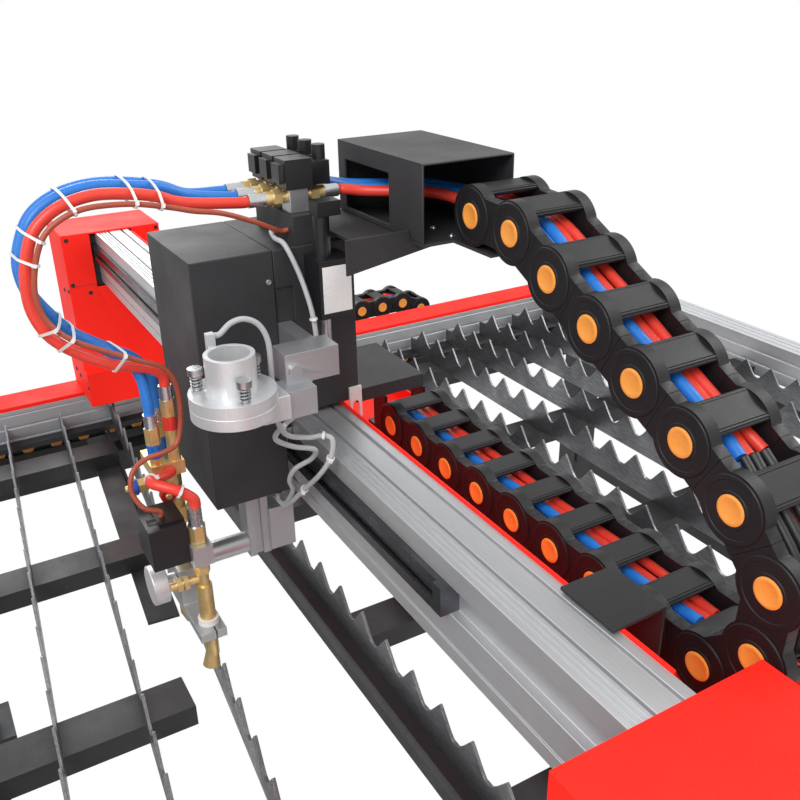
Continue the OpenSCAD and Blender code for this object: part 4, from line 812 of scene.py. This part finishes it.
sensor_cable = [
    (328.7, -150, 1285), (322, -152, 1285), (314, -180, 1285), (316, -200, 1282), (324, -215, 1251),
    (328, -228, 1215), (327, -232, 1180), (317, -236, 1157), (300, -250, 1136), (272, -266, 1130),
    (262, -274, 1124), (276, -280, 1115), (296, -284, 1108), (298, -272, 1092), (284, -262, 1080),
    (282, -250, 1062), (290, -236, 1040), (294, -200, 1004), (293, -174, 1001), (293, -169, 1004),
    (293, -169, 1011)]
# Silicone jacket: orange-brown and matt.
rubber_brown = finish("silicone_lead_brown", "b8573e", "98452f", 1.2, 0.4, bump_mm=0.03)
# Cable jackets of soft PVC: light grey and satin.
cable_grey = finish("pvc_cable_grey", "c4c6c8", "b0b2b5", 1.0, 0.45, bump_mm=0.01)
free_cord("igniter_lead", igniter_lead, cable_r, rubber_brown)
free_cord("collar_cable", collar_cable, cable_r, cable_grey)
last_cable = free_cord("sensor_cable", sensor_cable, cable_r, cable_grey)
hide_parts("signal_cables")


# Supply hoses. One rubber hose to each valve, clamped in its ferrule. They come from the beam chain, go
# through the cable box and leave it by its window.
supply_a = [
    (387, -170, 1321), (392, -170, 1321), (398, -176, 1321), (408, -190, 1321), (426, -204, 1321),
    (446, -218, 1321), (460, -240, 1321), (466, -268, 1320), (466, -296, 1318)]
supply_b = [
    (387, -140, 1321), (391, -140, 1321), (397, -151, 1321), (403, -164, 1321), (416, -176, 1321),
    (440, -192, 1321), (462, -210, 1321), (475, -234, 1321), (480, -262, 1320), (480, -296, 1318)]
supply_c = [
    (387, -110, 1321), (391, -110, 1321), (396, -120, 1321), (401, -136, 1321), (410, -150, 1321),
    (424, -162, 1321), (455, -180, 1321), (478, -200, 1321), (490, -232, 1321), (494, -262, 1320),
    (494, -296, 1318)]
free_cord("supply_hose_red", supply_a, hose_r, rubber_red)
free_cord("supply_hose_blue_a", supply_b, hose_r, rubber_blue)
last_supply = free_cord("supply_hose_blue_b", supply_c, hose_r, rubber_blue)
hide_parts("supply_hoses")


# Ties. Narrow bands of white nylon, each pulled tight through its own small head, hold the hoses together
# round the loop and keep the cables and the pilot hose tidy.

# Moulded nylon tie: white and a little glossy.
nylon_white = finish("nylon_tie_white", "f2f2ee", "e6e6e0", 2.0, 0.4, bump_mm=0.01)


def crossing(points, place, ahead):
    """Where a cord passes nearest to the plane through a place, square to a direction, in millimetres."""
    search_mm = 60
    route = smooth_route(points) / MM
    near = np.linalg.norm(route - place, axis=1) < search_mm
    off = np.where(near, np.abs((route - place) @ ahead), np.inf)
    return route[int(np.argmin(off))]


tie_w = 2.4
tie_t = 1.1
tie_slack = 0.4
tie_sides = 40
tie_up = (0.2, 0.3, 0.93)
to_camera = (0.3, 1.0, -0.4)
# The tie's head: corners along the hoses, along the band and out of it, and its six faces.
head_corners = np.array([(s, t, u) for s in (-1.4, 1.4) for t in (-2.0, 2.0) for u in (-0.8, 2.4)])
head_faces = [[0, 1, 3, 2], [4, 6, 7, 5], [0, 4, 5, 1], [2, 3, 7, 6], [0, 2, 6, 4], [1, 5, 7, 3]]


def band(name, place, run, cords, body="carriage"):
    """A nylon tie drawn tight round the cords at a place. Its outline is the hull of their sections: the
    farthest reach of any section's circle in each direction, and that reach's slope along the band."""
    ahead = np.array(run, float) / np.linalg.norm(run)
    first = np.cross(ahead, tie_up)
    first /= np.linalg.norm(first)
    second = np.cross(ahead, first)
    angle = np.linspace(0, 2 * np.pi, tie_sides, endpoint=False)
    cosine, sine = np.cos(angle), np.sin(angle)
    reaches = []
    for points, radius in cords:
        centre = crossing(points, place, ahead) - place
        reaches.append(centre @ first * cosine + centre @ second * sine + radius + tie_slack)
    reach = np.max(reaches, axis=0)
    slope = (np.roll(reach, -1) - np.roll(reach, 1)) / (2 * angle[1])
    outline = []
    for grow, shift in ((0, -1), (tie_t, -1), (tie_t, 1), (0, 1)):
        a = (reach + grow) * cosine - slope * sine
        b = (reach + grow) * sine + slope * cosine
        outline.append(place + a[:, None] * first + b[:, None] * second + ahead * shift * tie_w / 2)
    points = np.stack(outline, 1).reshape(-1, 3)
    count = len(points)
    faces = [[k % count for k in face] for face in grid_faces(tie_sides + 1, 4)]
    k = int(np.argmin(outline[1] @ to_camera))
    out = cosine[k] * first + sine[k] * second
    head = (outline[1][k] + outline[2][k]) / 2 + head_corners @ np.stack([ahead, np.cross(out, ahead), out])
    points = np.vstack([points, head])
    faces += [[n + count for n in face] for face in head_faces]
    mesh_piece(name, points * MM, faces, nylon_white, body)


# Each tie stands at a point of the red hose, square to it, and holds all the hoses that run there.
loop_cords = [(blue_hose_a, hose_r), (blue_hose_b, hose_r), (red_hose, hose_r), (igniter_lead, cable_r)]
tie_stations = (3, 4, 6, 8, 9, 12, 13, 15)
for station in tie_stations:
    run = np.subtract(red_hose[station + 1], red_hose[station - 1])
    band("hose_tie_%d" % station, np.array(red_hose[station], float), run, loop_cords)

# Single ties on the thin cables and on the pilot hose, each at a point of its own route.
single_ties = [(collar_cable, 10), (collar_cable, 12), (collar_cable, 14), (sensor_cable, 5),
               (sensor_cable, 9), (pilot_hose, 3), (pilot_hose, 6)]
for number, (cable, station) in enumerate(single_ties):
    run = np.subtract(cable[station + 1], cable[station - 1])
    of_hose = cable is pilot_hose
    band("cable_tie_%d" % number, np.array(cable[station], float), run,
         [(cable, hose_r if of_hose else cable_r)], body="oxy_lifter" if of_hose else "carriage")
